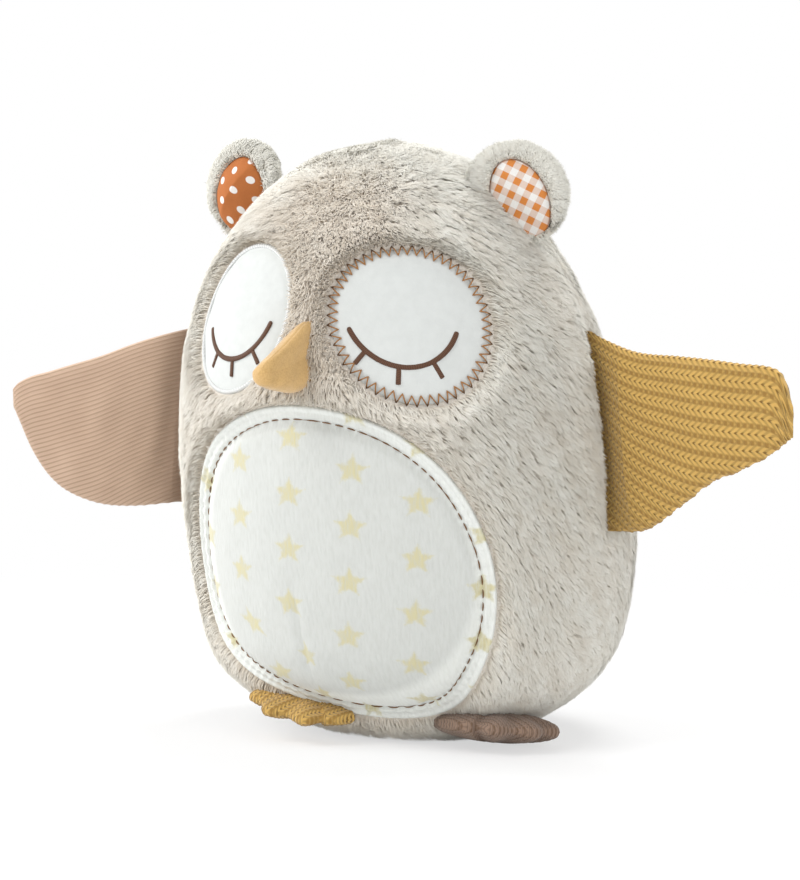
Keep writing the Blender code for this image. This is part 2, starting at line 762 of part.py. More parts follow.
for old in list(bpy.data.objects):
    bpy.data.objects.remove(old)
PARTS = bpy.data.collections.new("plush_owl")
CUTTERS = bpy.data.collections.new("cutters")
bpy.context.scene.collection.children.link(PARTS)
bpy.context.scene.collection.children.link(CUTTERS)
make_owl()
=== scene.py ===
"""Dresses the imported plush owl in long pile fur, knit, velour and stitched cloth."""

import json
import math

import bmesh
import bpy
import numpy as np
from mathutils import Euler, Matrix, Vector, kdtree


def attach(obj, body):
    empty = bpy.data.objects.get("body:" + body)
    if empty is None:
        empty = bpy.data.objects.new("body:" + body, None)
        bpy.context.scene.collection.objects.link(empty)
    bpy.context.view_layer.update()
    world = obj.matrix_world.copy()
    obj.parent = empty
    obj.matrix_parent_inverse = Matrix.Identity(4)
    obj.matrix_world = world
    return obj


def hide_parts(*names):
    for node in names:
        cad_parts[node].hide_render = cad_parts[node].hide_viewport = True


bl_info = {
    "name": "Plush Owl Dressing",
    "version": (1, 0, 0),
    "blender": (4, 5, 0),
    "location": "3D View > Sidebar > Owl",
    "description": "Sews fur, knit and stitched cloth over the solids of a plush owl",
    "category": "Add Mesh",
}

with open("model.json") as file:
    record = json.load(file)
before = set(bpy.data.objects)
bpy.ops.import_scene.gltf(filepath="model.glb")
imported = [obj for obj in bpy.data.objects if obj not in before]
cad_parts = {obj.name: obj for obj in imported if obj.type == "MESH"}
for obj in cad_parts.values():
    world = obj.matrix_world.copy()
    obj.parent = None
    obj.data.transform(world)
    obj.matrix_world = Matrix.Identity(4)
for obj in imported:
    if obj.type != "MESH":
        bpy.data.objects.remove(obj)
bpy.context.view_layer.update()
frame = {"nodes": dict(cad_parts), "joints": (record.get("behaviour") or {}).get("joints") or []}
JOINTS = {joint["name"]: joint for joint in frame["joints"]}

MM = 0.001
BODY = "body"

# Rings of the body from base to crown: height, radius, backward shift, shift to the owl's left, as
# shares of the body's height and radius.
BODY_RINGS = (
    (-0.0018, 0.000, 0.030, 0.045),
    (-0.0018, 0.220, 0.030, 0.045),
    (0.0013, 0.345, 0.035, 0.045),
    (0.0127, 0.440, 0.040, 0.045),
    (0.0417, 0.585, 0.050, 0.038),
    (0.0888, 0.785, 0.060, 0.010),
    (0.1377, 0.890, 0.078, 0.000),
    (0.2000, 0.948, 0.090, 0.000),
    (0.3007, 0.991, 0.072, 0.000),
    (0.3949, 1.000, 0.025, 0.000),
    (0.4710, 0.993, -0.020, 0.000),
    (0.5417, 0.974, -0.065, 0.000),
    (0.6134, 0.943, -0.115, 0.000),
    (0.6920, 0.889, -0.165, 0.000),
    (0.7667, 0.808, -0.205, 0.000),
    (0.8333, 0.705, -0.228, 0.000),
    (0.9138, 0.524, -0.236, 0.000),
    (0.9721, 0.305, -0.222, 0.000),
    (1.0000, 0.000, -0.215, 0.000),
)
# Turns of the side seams in degrees, at shares of the body's height.
SEAM_TURNS = ((0.0, 84.6), (0.38, 84.6), (0.71, 90.9), (0.92, 77.4), (1.0, 75.6))


def length_property(name, default, description):
    """A size that a user may change, in metres."""
    return bpy.props.FloatProperty(
        name=name, description=description, default=default, min=0, unit="LENGTH", precision=4
    )


def colour_property(name, default, description):
    """A colour that a user may change."""
    return bpy.props.FloatVectorProperty(
        name=name, description=description, default=default, min=0, max=1, subtype="COLOR"
    )


class OwlSizes(bpy.types.PropertyGroup):
    """Sizes of the owl's cloth and stitching."""

    body_height: length_property("Body height", 0.276, "Height of the stuffed body under its pile")
    body_radius: length_property("Body radius", 0.105, "Radius of the stuffed body at its widest")
    pile_height: length_property("Pile height", 0.0038, "How far the pile stands over the body's solid")
    pile_reach: length_property("Pile reach", 0.0062, "How far a lock of pile leans over")
    lock_width: length_property("Lock width", 0.00056, "Width of one lock of pile at its root")
    tuft_spacing: length_property("Tuft spacing", 0.0026, "Distance between tufts of locks")
    belly_half_width: length_property("Belly half width", 0.0825, "Half the belly patch's width")
    belly_half_height: length_property("Belly half height", 0.0750, "Half the belly patch's height")
    eye_radius: length_property("Eye radius", 0.0345, "Radius of an eye disc")
    chunky_rib: length_property("Chunky rib", 0.0056, "Width of one rib of the chunky knit")
    fine_rib: length_property("Fine rib", 0.0024, "Width of one rib of the fine knit")


class OwlColours(bpy.types.PropertyGroup):
    """Colours of the owl's cloth and thread."""

    pile_tip: colour_property("Pile tip", (0.83, 0.81, 0.765), "Colour of the pile's tips")
    pile_root: colour_property("Pile root", (0.70, 0.635, 0.55), "Colour of the pile at its backing")
    minky: colour_property("Belly plush", (0.605, 0.62, 0.595), "Colour of the belly patch")
    star: colour_property("Stars", (0.59, 0.545, 0.33), "Colour of the printed stars")
    disc: colour_property("Eye discs", (0.625, 0.645, 0.63), "Colour of the eye discs")
    zigzag: colour_property("Zigzag thread", (0.38, 0.18, 0.06), "Thread of the left eye's edging")
    lid: colour_property("Lid thread", (0.115, 0.052, 0.028), "Thread of the closed lids")
    beak: colour_property("Beak", (0.60, 0.39, 0.16), "Colour of the beak's velour")
    mustard: colour_property("Mustard knit", (0.60, 0.38, 0.11), "Colour of the chunky knit")
    taupe: colour_property("Taupe knit", (0.64, 0.46, 0.34), "Colour of the fine knit wing")
    mauve: colour_property("Mauve knit", (0.28, 0.19, 0.14), "Colour of the left foot's knit")
    check: colour_property("Check", (0.64, 0.23, 0.055), "Dark colour of the checked lining")
    rust: colour_property("Rust", (0.47, 0.155, 0.045), "Ground colour of the dotted lining")


def sizes():
    """The scene's sizes."""
    return bpy.context.scene.owl_sizes


def colours():
    """The scene's colours."""
    return bpy.context.scene.owl_colours


# Arrays and curves


def smooth_rows(rows, steps=12):
    """Rows of a smooth curve through the given rows."""
    rows = np.array(rows, float)
    before = np.vstack([rows[:1], rows[:-2]])
    start = rows[:-1]
    end = rows[1:]
    after = np.vstack([rows[2:], rows[-1:]])
    t = np.linspace(0, 1, steps, endpoint=False)[None, :, None]
    leave = ((end - before) / 2)[:, None]
    arrive = ((after - start) / 2)[:, None]
    start = start[:, None]
    end = end[:, None]
    line = (
        start * (2 * t**3 - 3 * t**2 + 1)
        + leave * (t**3 - 2 * t**2 + t)
        + end * (3 * t**2 - 2 * t**3)
        + arrive * (t**3 - t**2)
    )
    return np.vstack([line.reshape(-1, rows.shape[1]), rows[-1:]])


def ease(low, high, x):
    """0 below low, 1 above high, and a smooth rise between."""
    t = np.clip((np.asarray(x, float) - low) / (high - low), 0, 1)
    return t * t * (3 - 2 * t)


def unit(vectors):
    """The vectors at length 1."""
    return vectors / np.maximum(np.linalg.norm(vectors, axis=-1, keepdims=True), 1e-12)


def ripple(points, scale, seed=0):
    """A smooth uneven field over points, about -1 to 1, with features of this size."""
    rng = np.random.default_rng(seed)
    total = np.zeros(len(points))
    for octave, weight in ((1, 0.5), (1.7, 0.3), (2.9, 0.2)):
        for _ in range(3):
            way = unit(rng.normal(size=3)) * octave * math.tau / scale
            total += weight / 1.7 * np.sin(points @ way + rng.uniform(0, math.tau))
    return total


def ring(radius, u):
    """Across and up at a radius, a share u of the way round."""
    return radius * np.cos(math.tau * u), radius * np.sin(math.tau * u)


def squared_ring(u, power):
    """Across and up on a ring of half size 1, which is squarer the higher the power. 2 is a circle."""
    x, y = ring(1.0, u)
    return np.sign(x) * np.abs(x) ** (2 / power), np.sign(y) * np.abs(y) ** (2 / power)


def turned(across, up, angle):
    """Places across and up, as numbers, arrays or signals, in a frame turned by an angle."""
    sin, cos = math.sin(angle), math.cos(angle)
    return across * cos + up * sin, up * cos - across * sin


def even(value):
    """A measure that is the same all along a cord."""
    return lambda u: value + 0 * u


def threads(half, swell, count, closed=False):
    """A cord's half size along it, rippled by its threads and drawn in at its ends where it is closed.
    Half and swell are in millimetres."""

    def size(u):
        ends = np.sqrt(np.clip(1 - np.abs(2 * u - 1) ** 60, 0, 1)) if closed else 1.0
        return (half + swell * np.sin(u * count * math.tau)) * MM * ends

    return size


class BodyForm:
    """The stuffed body's surface, which the fur, patches and stitches are placed on."""

    def __init__(self):
        rings = smooth_rows(BODY_RINGS)
        height, radius, back, side = rings.T
        self.height = height * sizes().body_height
        self.radius = radius * sizes().body_radius
        self.back = back * sizes().body_radius
        self.side = side * sizes().body_radius
        steps = np.hypot(np.diff(self.radius), np.diff(self.height))
        self.length = np.concatenate([[0], np.cumsum(steps)])
        self.end = self.length[-1]

    def outline(self, length):
        """Radius, height and shifts at lengths, which may run on past a pole."""
        length = np.asarray(length, float)
        sign = np.where((length > self.end) | (length < 0), -1.0, 1.0)
        length = np.where(length > self.end, 2 * self.end - length, np.abs(length))
        radius = np.interp(length, self.length, self.radius) * sign
        height = np.interp(length, self.length, self.height)
        back = np.interp(length, self.length, self.back)
        side = np.interp(length, self.length, self.side)
        return radius, height, back, side

    def length_at(self, height_share):
        """How far along the outline a share of the height is reached, past the level base."""
        return float(np.interp(height_share * sizes().body_height, self.height[12:], self.length[12:]))

    def level(self, length):
        """The height at lengths, as a share of the body's height."""
        return self.outline(length)[1] / sizes().body_height

    def seam(self, length):
        """The turn in degrees of the side seam at lengths."""
        return np.interp(self.level(length), *zip(*SEAM_TURNS))

    def place(self, turn, length, inset=0.0):
        """Points at turns in degrees and lengths, moved inwards, with the ways left, up and out."""
        angle = np.radians(turn)
        step = self.end / 180
        radius, height, back, side = self.outline(length)
        low = self.outline(length - step)
        high = self.outline(length + step)
        along = unit(np.stack([high[0] - low[0], high[1] - low[1]], axis=-1))
        sin, cos = np.sin(angle), np.cos(angle)
        zero = np.zeros_like(sin * along[..., 0])
        out = np.stack([along[..., 1] * sin, -along[..., 1] * cos, -along[..., 0] + zero], axis=-1)
        up = np.stack([along[..., 0] * sin, -along[..., 0] * cos, along[..., 1] + zero], axis=-1)
        left = np.stack([cos + zero, sin + zero, zero], axis=-1)
        spot = np.stack([side + radius * sin, back - radius * cos, height + zero], axis=-1)
        return spot - out * np.asarray(inset)[..., None], left, up, out


class Patch:
    """A place on the body that sewn things are laid out from, by arc distances across and up."""

    def __init__(self, form, turn, level):
        self.form = form
        self.turn = turn
        self.length = form.length_at(level)

    def place(self, across, up, inset):
        """Points moved inwards by inset, with the ways left, up and out."""
        spot = self.length + np.asarray(up, float)
        radius = self.form.outline(spot)[0]
        return self.form.place(self.turn + np.degrees(across / radius), spot, inset)


# Heights of the patches' middles as shares of the body's height, and the eyes' turns in degrees.
EYE_LEVEL = 0.7054
EYE_TURNS = {1: 30.0, -1: -28.3}
BELLY_LEVEL = 0.3025
BELLY_POWER = 2.2

# The belly patch's outline: an angle on it in degrees from the owl's left, and the share of its half
# sizes that it reaches there. It is fullest at its foot.
BELLY_OUTLINE = (
    (-180, 1.13),
    (-160, 1.12),
    (-148, 1.04),
    (-136, 1.00),
    (-123, 0.985),
    (-111, 1.03),
    (-100, 1.11),
    (-88, 1.19),
    (-78, 1.24),
    (-63, 1.20),
    (-50, 1.12),
    (-36, 1.075),
    (-13, 1.04),
    (0, 1.03),
    (23, 0.975),
    (47, 0.950),
    (71, 0.965),
    (95, 0.990),
    (122, 0.995),
    (150, 1.06),
    (180, 1.13),
)


def belly_share(angle):
    """The share of the belly patch's half sizes that its outline reaches at an angle."""
    spots = np.degrees(angle)[None] + np.linspace(-9, 9, 7)[:, None]
    return np.interp(spots, *zip(*BELLY_OUTLINE), period=360).mean(axis=0)


def disc_radius(sign, angle):
    """An eye disc's radius at an angle from the way to the owl's left. The right one is taller."""
    if sign > 0:
        return sizes().eye_radius + 2.3 * MM + 0 * angle
    return sizes().eye_radius - 0.2 * MM + 3.4 * MM * np.maximum(np.sin(angle), 0) ** 3


def patch_clearance(form, turn, length):
    """How far outside the belly patch and the eyes each point is, and the way left and up that leads
    off them."""
    radius = form.outline(length)[0]
    x = np.radians(turn) * radius
    y = length - form.length_at(BELLY_LEVEL)
    wide = sizes().belly_half_width
    high = sizes().belly_half_height
    powers = np.abs(x / wide) ** BELLY_POWER + np.abs(y / high) ** BELLY_POWER
    squared = powers ** (1 / BELLY_POWER)
    far = np.hypot(x, y)
    share = belly_share(np.arctan2(y / high, x / wide))
    best = far * (1 - share / np.maximum(squared, 1e-6))
    way = np.stack([x, y], axis=-1) / np.maximum(far, 1e-9)[:, None]
    for sign in (1, -1):
        x = np.radians(turn - EYE_TURNS[sign]) * radius
        y = length - form.length_at(EYE_LEVEL)
        far = np.hypot(x, y)
        off = far - disc_radius(sign, np.arctan2(y, x)) - 1.6 * MM
        nearer = off < best
        best = np.where(nearer, off, best)
        eye_way = np.stack([x, y], axis=-1) / np.maximum(far, 1e-9)[:, None]
        way = np.where(nearer[:, None], eye_way, way)
    return best, way


# How far a wing's root seam runs down and up from its joint.
ROOT_SEAM = (-45 * MM, 46 * MM)


def wing_clearance(spots):
    """How far points are from the wings' root seams, and the backward or forward way off them."""
    best = np.full(len(spots), 1.0)
    way = np.zeros(len(spots))
    for name in ("left", "right"):
        joint = JOINTS["wing_" + name + "_fold"]
        root, axis = np.array(joint["pos_m"]), np.array(joint["axis"])
        along = np.clip((spots - root) @ axis, *ROOT_SEAM)
        near = root + along[:, None] * axis
        far = np.linalg.norm(spots - near, axis=1)
        closer = far < best
        best = np.where(closer, far, best)
        way = np.where(closer, np.sign(spots[:, 1] - near[:, 1]), way)
    return best, way


# Meshes


def finish_mesh(bm, name, cloth, body, stands_for=()):
    """Makes a piece of a bmesh, with its cloth, the body it rides on and the nodes it stands for."""
    mesh = bpy.data.meshes.new(name)
    bm.to_mesh(mesh)
    bm.free()
    return finish_piece(mesh, name, cloth, body, stands_for)


def finish_piece(mesh, name, cloth, body, stands_for=()):
    """Makes a piece of a mesh."""
    mesh.materials.append(cloth)
    mesh.shade_smooth()
    piece = bpy.data.objects.new(name, mesh)
    bpy.context.scene.collection.objects.link(piece)
    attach(piece, body)
    if stands_for:
        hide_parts(*stands_for)
    return piece


def mapped_grid(columns, rows, place, flat=None, baked=True):
    """A bmesh grid laid over a surface by place(u, v). Its cloth UV map comes from flat(u, v), and its
    bake map, where it has one, is the grid itself. Points that the mapping brings together are joined,
    and the faces turned outwards."""
    bm = bmesh.new()
    bmesh.ops.create_grid(bm, x_segments=columns, y_segments=rows, size=0.5)
    cloth = bm.loops.layers.uv.new("cloth")
    bake = bm.loops.layers.uv.new("OFBake") if baked else None
    corners = [loop for face in bm.faces for loop in face.loops]
    at = np.array([loop.vert.co[:2] for loop in corners]) + 0.5
    woven = np.stack(flat(at[:, 0], at[:, 1]), axis=-1) if flat else at
    for loop, spot in zip(corners, woven):
        loop[cloth].uv = spot
    if baked:
        for loop, spot in zip(corners, at * 0.98 + 0.01):
            loop[bake].uv = spot
    at = np.array([point.co[:2] for point in bm.verts]) + 0.5
    for point, spot in zip(bm.verts, place(at[:, 0], at[:, 1])):
        point.co = spot
    bmesh.ops.remove_doubles(bm, verts=bm.verts, dist=1e-6)
    bmesh.ops.recalc_face_normals(bm, faces=bm.faces)
    return bm


def raised(place, height, sign=1.0):
    """The surface place(u, v) with height(u, v) added along its normal."""

    def over(u, v):
        nudge = 2e-3
        along = place(np.minimum(u + nudge, 1), v) - place(np.maximum(u - nudge, 0), v)
        across = place(u, np.minimum(v + nudge, 1)) - place(u, np.maximum(v - nudge, 0))
        normal = unit(np.cross(along, across)) * sign
        return place(u, v) + normal * height(u, v)[:, None]

    return over


def joined(*parts):
    """One bmesh of several."""
    whole = bmesh.new()
    for part in parts:
        mesh = bpy.data.meshes.new("part")
        part.to_mesh(mesh)
        part.free()
        whole.from_mesh(mesh)
        bpy.data.meshes.remove(mesh)
    return whole


def cord(patch, path, inset, wide, thick, columns, sides, length):
    """A sewn cord over the body: path(u) gives arc distances across and up from a patch's middle, and
    inset, wide and thick give its depth and half sizes along it. Its cloth map is this long."""

    def place(u, v):
        nudge = 0.5 / columns
        spot, _, _, out = patch.place(*path(u), inset(u))
        ahead = patch.place(*path(u + nudge), inset(u))[0]
        behind = patch.place(*path(u - nudge), inset(u))[0]
        side = unit(np.cross(out, unit(ahead - behind)))
        around = math.tau * v
        return (
            spot
            + side * (np.cos(around) * wide(u))[:, None]
            + out * (np.sin(around) * thick(u))[:, None]
        )

    return mapped_grid(columns, sides, place, lambda u, v: (u * length, v))


def store(mesh, name, values):
    """Keeps one number a point on a mesh, for its material to read."""
    mesh.attributes.new(name, "FLOAT", "POINT").data.foreach_set("value", np.asarray(values, np.float32))


# Materials


class Signal:
    """A socket of a node tree, with arithmetic that adds Math nodes."""

    def __init__(self, nodes, socket):
        self.nodes = nodes
        self.socket = socket

    def __add__(self, other):
        return self.nodes.maths("ADD", self, other)

    __radd__ = __add__

    def __sub__(self, other):
        return self.nodes.maths("SUBTRACT", self, other)

    def __rsub__(self, other):
        return self.nodes.maths("SUBTRACT", other, self)

    def __mul__(self, other):
        return self.nodes.maths("MULTIPLY", self, other)

    __rmul__ = __mul__

    def __truediv__(self, other):
        return self.nodes.maths("DIVIDE", self, other)

    def __pow__(self, other):
        return self.nodes.maths("POWER", self, other)

    def __abs__(self):
        return self.nodes.maths("ABSOLUTE", self)

    def rise(self, low, high, start=0.0):
        """The value start below low, 1 above high and smooth between."""
        settings = {"interpolation_type": "SMOOTHSTEP"}
        values = {"Value": self, "From Min": low, "From Max": high, "To Min": start}
        return self.nodes.add("ShaderNodeMapRange", settings, values)

    def other(self, name):
        """Another result of the same node."""
        return Signal(self.nodes, self.socket.node.outputs[name])


class Nodes:
    """The node tree of a material or a world, with one way to add a node."""

    def __init__(self, owner):
        owner.use_nodes = True
        self.tree = owner.node_tree

    def add(self, kind, settings=None, values=None, result=0):
        """Adds a node with its settings and its sockets' values or links, and gives its result."""
        node = self.tree.nodes.new(kind)
        for name, setting in (settings or {}).items():
            if name == "stops":
                ramp = node.color_ramp
                while len(ramp.elements) < len(setting):
                    ramp.elements.new(1)
                for element, (position, colour) in zip(ramp.elements, setting):
                    element.position = position
                    element.color = (*colour, 1)
            else:
                setattr(node, name, setting)
        for name, value in (values or {}).items():
            self.join(node.inputs[name], value)
        return Signal(self, node.outputs[result])

    def join(self, socket, value):
        """Links a signal into a socket, or sets the socket's value."""
        if isinstance(value, Signal):
            self.tree.links.new(value.socket, socket)
        elif socket.type == "RGBA" and len(value) == 3:
            socket.default_value = (*value, 1)
        else:
            socket.default_value = value

    def maths(self, operation, *values):
        """Adds a Math node on numbers and signals."""
        return self.add("ShaderNodeMath", {"operation": operation}, dict(enumerate(values)))

    def plain_view(self):
        """1 for camera, glossy and transmission rays, which see the plain background."""
        ray = self.add("ShaderNodeLightPath", result="Is Camera Ray")
        mirrored = self.maths("MAXIMUM", ray, ray.other("Is Glossy Ray"))
        return self.maths("MAXIMUM", mirrored, ray.other("Is Transmission Ray"))


class Cloth(Nodes):
    """Builds one material with its nodes."""

    def __init__(self, name, roughness=0.85, sheen=0.0):
        self.material = bpy.data.materials.new(name)
        super().__init__(self.material)
        self.shader = self.tree.nodes["Principled BSDF"]
        self.set("Roughness", roughness)
        self.set("Specular IOR Level", 0.25)
        if sheen:
            self.set("Sheen Weight", sheen)
            self.set("Sheen Roughness", 0.5)

    def set(self, name, value):
        """Links or sets a socket of the shader."""
        self.join(self.shader.inputs[name], value)

    def attribute(self, name):
        """A number that the mesh keeps for each point."""
        return self.add("ShaderNodeAttribute", {"attribute_name": name}, result="Fac")

    def blend(self, amount, first, second, kind="MIX"):
        """Mixes two colours."""
        settings = {"data_type": "RGBA", "blend_type": kind}
        return self.add("ShaderNodeMix", settings, {0: amount, 6: first, 7: second}, result=2)

    def ramp(self, amount, *stops):
        """A colour that runs through stops of position and colour."""
        return self.add("ShaderNodeValToRGB", {"stops": stops}, {"Fac": amount})

    def dimmed(self, colour, grain, low, end=0.7):
        """A colour that is multiplied by low where the grain is dark."""
        marks = self.ramp(grain, (0.3, low), (end, (1.0, 1.0, 1.0)))
        return self.blend(1.0, colour, marks, "MULTIPLY")

    def grain(self, scale, detail=3.0, where=None):
        """Noise of this scale over the object or the given coordinates."""
        if where is None:
            where = self.add("ShaderNodeTexCoord", result="Object")
        values = {"Vector": where, "Scale": scale, "Detail": detail, "Roughness": 0.55}
        return self.add("ShaderNodeTexNoise", None, values)

    def weave_place(self):
        """The cloth's own coordinates: along it, across it, and both as a vector."""
        spot = self.add("ShaderNodeUVMap", {"uv_map": "cloth"})
        along = self.add("ShaderNodeSeparateXYZ", None, {0: spot})
        return along, along.other("Y"), spot

    def staggered(self, along, over):
        """Places on a print with a mark at each whole number, as distances from the nearest mark. Every
        other row is shifted by half a step."""
        row = self.maths("ROUND", over)
        shifted = along + self.maths("PINGPONG", row, 1.0) * 0.5
        return shifted - self.maths("ROUND", shifted), over - row

    def bump(self, height, distance, strength=1.0):
        """Gives the cloth relief of this depth."""
        values = {"Height": height, "Distance": distance, "Strength": strength}
        self.set("Normal", self.add("ShaderNodeBump", None, values))


def deeper(colour, share):
    """A colour at a share of its strength."""
    return tuple(channel * share for channel in colour)


def dyed(colour, red, green, blue):
    """A colour with each of its channels at a share, and none over 1."""
    return tuple(min(channel * by, 1) for channel, by in zip(colour, (red, green, blue)))


def between(first, second, share):
    """A colour this share of the way from one to another."""
    return tuple(a + (b - a) * share for a, b in zip(first, second))


def grained_cloth(name, roughness, sheen, scale, detail, dark, pale, depth):
    """Cloth whose grain runs from dark to pale and stands out by a depth."""
    cloth = Cloth(name, roughness, sheen)
    grain = cloth.grain(scale, detail)
    cloth.set("Base Color", cloth.ramp(grain, (0.3, dark), (0.7, pale)))
    cloth.bump(grain, depth)
    return cloth.material


def pile_cloth(name="pile", lift=1.0, fade=0.0):
    """Long pile: dark at its backing, pale at its tips, with uneven tone from tuft to tuft. Lift
    brightens it, and fade takes the backing's colour towards the tips'."""
    cloth = Cloth(name, roughness=0.8, sheen=0.3)
    tip = deeper(colours().pile_tip, lift)
    root = between(deeper(colours().pile_root, lift), tip, fade)
    stops = ((0.0, root), (0.45, between(root, tip, 0.6)), (0.8, tip), (1.0, dyed(tip, 1.03, 1.03, 1.04)))
    shade = cloth.ramp(cloth.attribute("rise"), *stops)
    dim = cloth.blend(cloth.attribute("tone"), (0.79, 0.735, 0.67), (1.0, 1.0, 1.0))
    tint = cloth.blend(cloth.attribute("warmth"), (0.955, 0.985, 0.975), (1.0, 0.965, 0.915))
    shade = cloth.blend(0.9, shade, dim, "MULTIPLY")
    cloth.set("Base Color", cloth.blend(1.0, shade, tint, "MULTIPLY"))
    return cloth.material


def coat_cloth():
    """The dense underfur between the locks."""
    tip, root = colours().pile_tip, colours().pile_root
    middle = between(root, tip, 0.5)
    return grained_cloth("underfur", 0.95, 0.3, 1100.0, 3.0, deeper(root, 0.92), middle, 0.5 * MM)


# Fur


def lock_template():
    """One lock of pile as a slim blade in two steps, along +Z from 0 to 1, one wide at its root."""
    bm = bmesh.new()
    bmesh.ops.create_grid(bm, x_segments=1, y_segments=2, size=0.5)
    bmesh.ops.rotate(bm, verts=bm.verts, matrix=Matrix.Rotation(math.radians(90), 3, "X"))
    bmesh.ops.translate(bm, verts=bm.verts, vec=(0, 0, 0.5))
    for low, share in ((0.75, 0.0), (0.25, 0.85)):
        row = [point for point in bm.verts if low < point.co.z < low + 0.5]
        bmesh.ops.scale(bm, verts=row, vec=(share, 1, 1))
    bmesh.ops.remove_doubles(bm, verts=bm.verts, dist=1e-4)
    spots = np.array([point.co[:] for point in bm.verts])
    faces = [[point.index for point in face.verts] for face in bm.faces]
    bm.free()
    return spots, faces


def lay_pile(name, roots, outs, mids, tips, widths, tone, warmth, cloth, body):
    """Lays a lock of pile along root, middle and tip for each row of the arrays, as one piece."""
    spots, faces = lock_template()
    count = len(roots)
    step = spots[:, 2]
    side = unit(np.cross(tips - roots, outs))
    share = step[None, :, None]
    line = np.where(
        share < 0.75,
        roots[:, None] + (mids - roots)[:, None] * (share / 0.5),
        mids[:, None] + (tips - mids)[:, None] * ((share - 0.5) / 0.5),
    )
    points = line + side[:, None] * widths[:, None, None] * spots[None, :, 0:1]
    corners = np.concatenate(faces)
    loops = (np.arange(count)[:, None] * len(spots) + corners[None]).ravel()
    totals = np.tile([len(face) for face in faces], count)
    starts = np.concatenate([[0], np.cumsum(totals)[:-1]])
    mesh = bpy.data.meshes.new(name)
    mesh.vertices.add(count * len(spots))
    mesh.vertices.foreach_set("co", points.ravel().astype(np.float32))
    mesh.loops.add(len(loops))
    mesh.loops.foreach_set("vertex_index", loops.astype(np.int32))
    mesh.polygons.add(len(totals))
    mesh.polygons.foreach_set("loop_start", starts.astype(np.int32))
    mesh.update(calc_edges=True)
    store(mesh, "rise", np.tile(step, count))
    store(mesh, "tone", np.repeat(tone, len(spots)))
    store(mesh, "warmth", np.repeat(warmth, len(spots)))
    # Each lock has its own cell of the bake map.
    cells = math.ceil(math.sqrt(count))
    cell = np.stack([np.arange(count) % cells, np.arange(count) // cells], axis=-1)
    inside = np.stack([0.5 + 0.8 * spots[corners, 0], 0.1 + 0.8 * step[corners]], axis=-1)
    spread = (cell[:, None] + inside[None]) / cells
    mesh.uv_layers.new(name="OFBake").data.foreach_set("uv", spread.ravel().astype(np.float32))
    mesh.validate()
    return finish_piece(mesh, name, cloth, body, ())


def gather(roots, mids, tips, tuft_roots, tuft_tips, pull):
    """Draws the tips together into tufts, and gives the tuft of each lock."""
    tree = kdtree.KDTree(len(tuft_roots))
    for index, spot in enumerate(tuft_roots):
        tree.insert(spot, index)
    tree.balance()
    nearest = np.array([tree.find(spot)[1] for spot in roots])
    shift = (tuft_tips[nearest] - tips) * pull[:, None]
    return mids + shift * 0.35, tips + shift, nearest


def scatter(form, rng, count, low, high, first_turn, last_turn):
    """Turns and lengths spread evenly over part of the body's surface."""
    turns, lengths = [], []
    while sum(map(len, turns)) < count:
        length = rng.uniform(low, high, count * 2)
        turn = rng.uniform(first_turn, last_turn, count * 2)
        keep = rng.uniform(0, sizes().body_radius, count * 2) < form.outline(length)[0]
        turns.append(turn[keep])
        lengths.append(length[keep])
    return np.concatenate(turns)[:count], np.concatenate(lengths)[:count]


def comb(form, turn, length, spots):
    """The way the body's pile lies, as left and up parts: outwards and down, from a whorl on top."""
    share = form.level(length)
    side = np.tanh(turn / 35.0)
    swirl = ripple(spots, 0.075, 3) * 0.55 + ripple(spots, 0.03, 4) * 0.3
    front = ease(115, 75, np.abs(turn))
    left = 0.75 * side * front + 0.35 * swirl
    up = -0.75 - 0.25 * ripple(spots, 0.09, 5) + 0.4 * ease(0.84, 0.92, share) * front
    whorl = crown_share(form, length)
    return left + (0.5 - left) * whorl, up + (0.1 - up) * whorl


def crown_share(form, length):
    """How far places lie on the crown, where the pile is a loose whorl, from 0 to 1."""
    return ease(0.925, 0.985, form.level(length))


def brow_share(form, turn, length):
    """How far places lie on the ruffled middle of the brow, from 0 to 1."""
    share = form.level(length)
    across = np.abs(turn - 6.0 + 20.0 * (1 - share))
    return ease(34, 12, across) * ease(0.56, 0.64, share) * ease(0.965, 0.90, share)


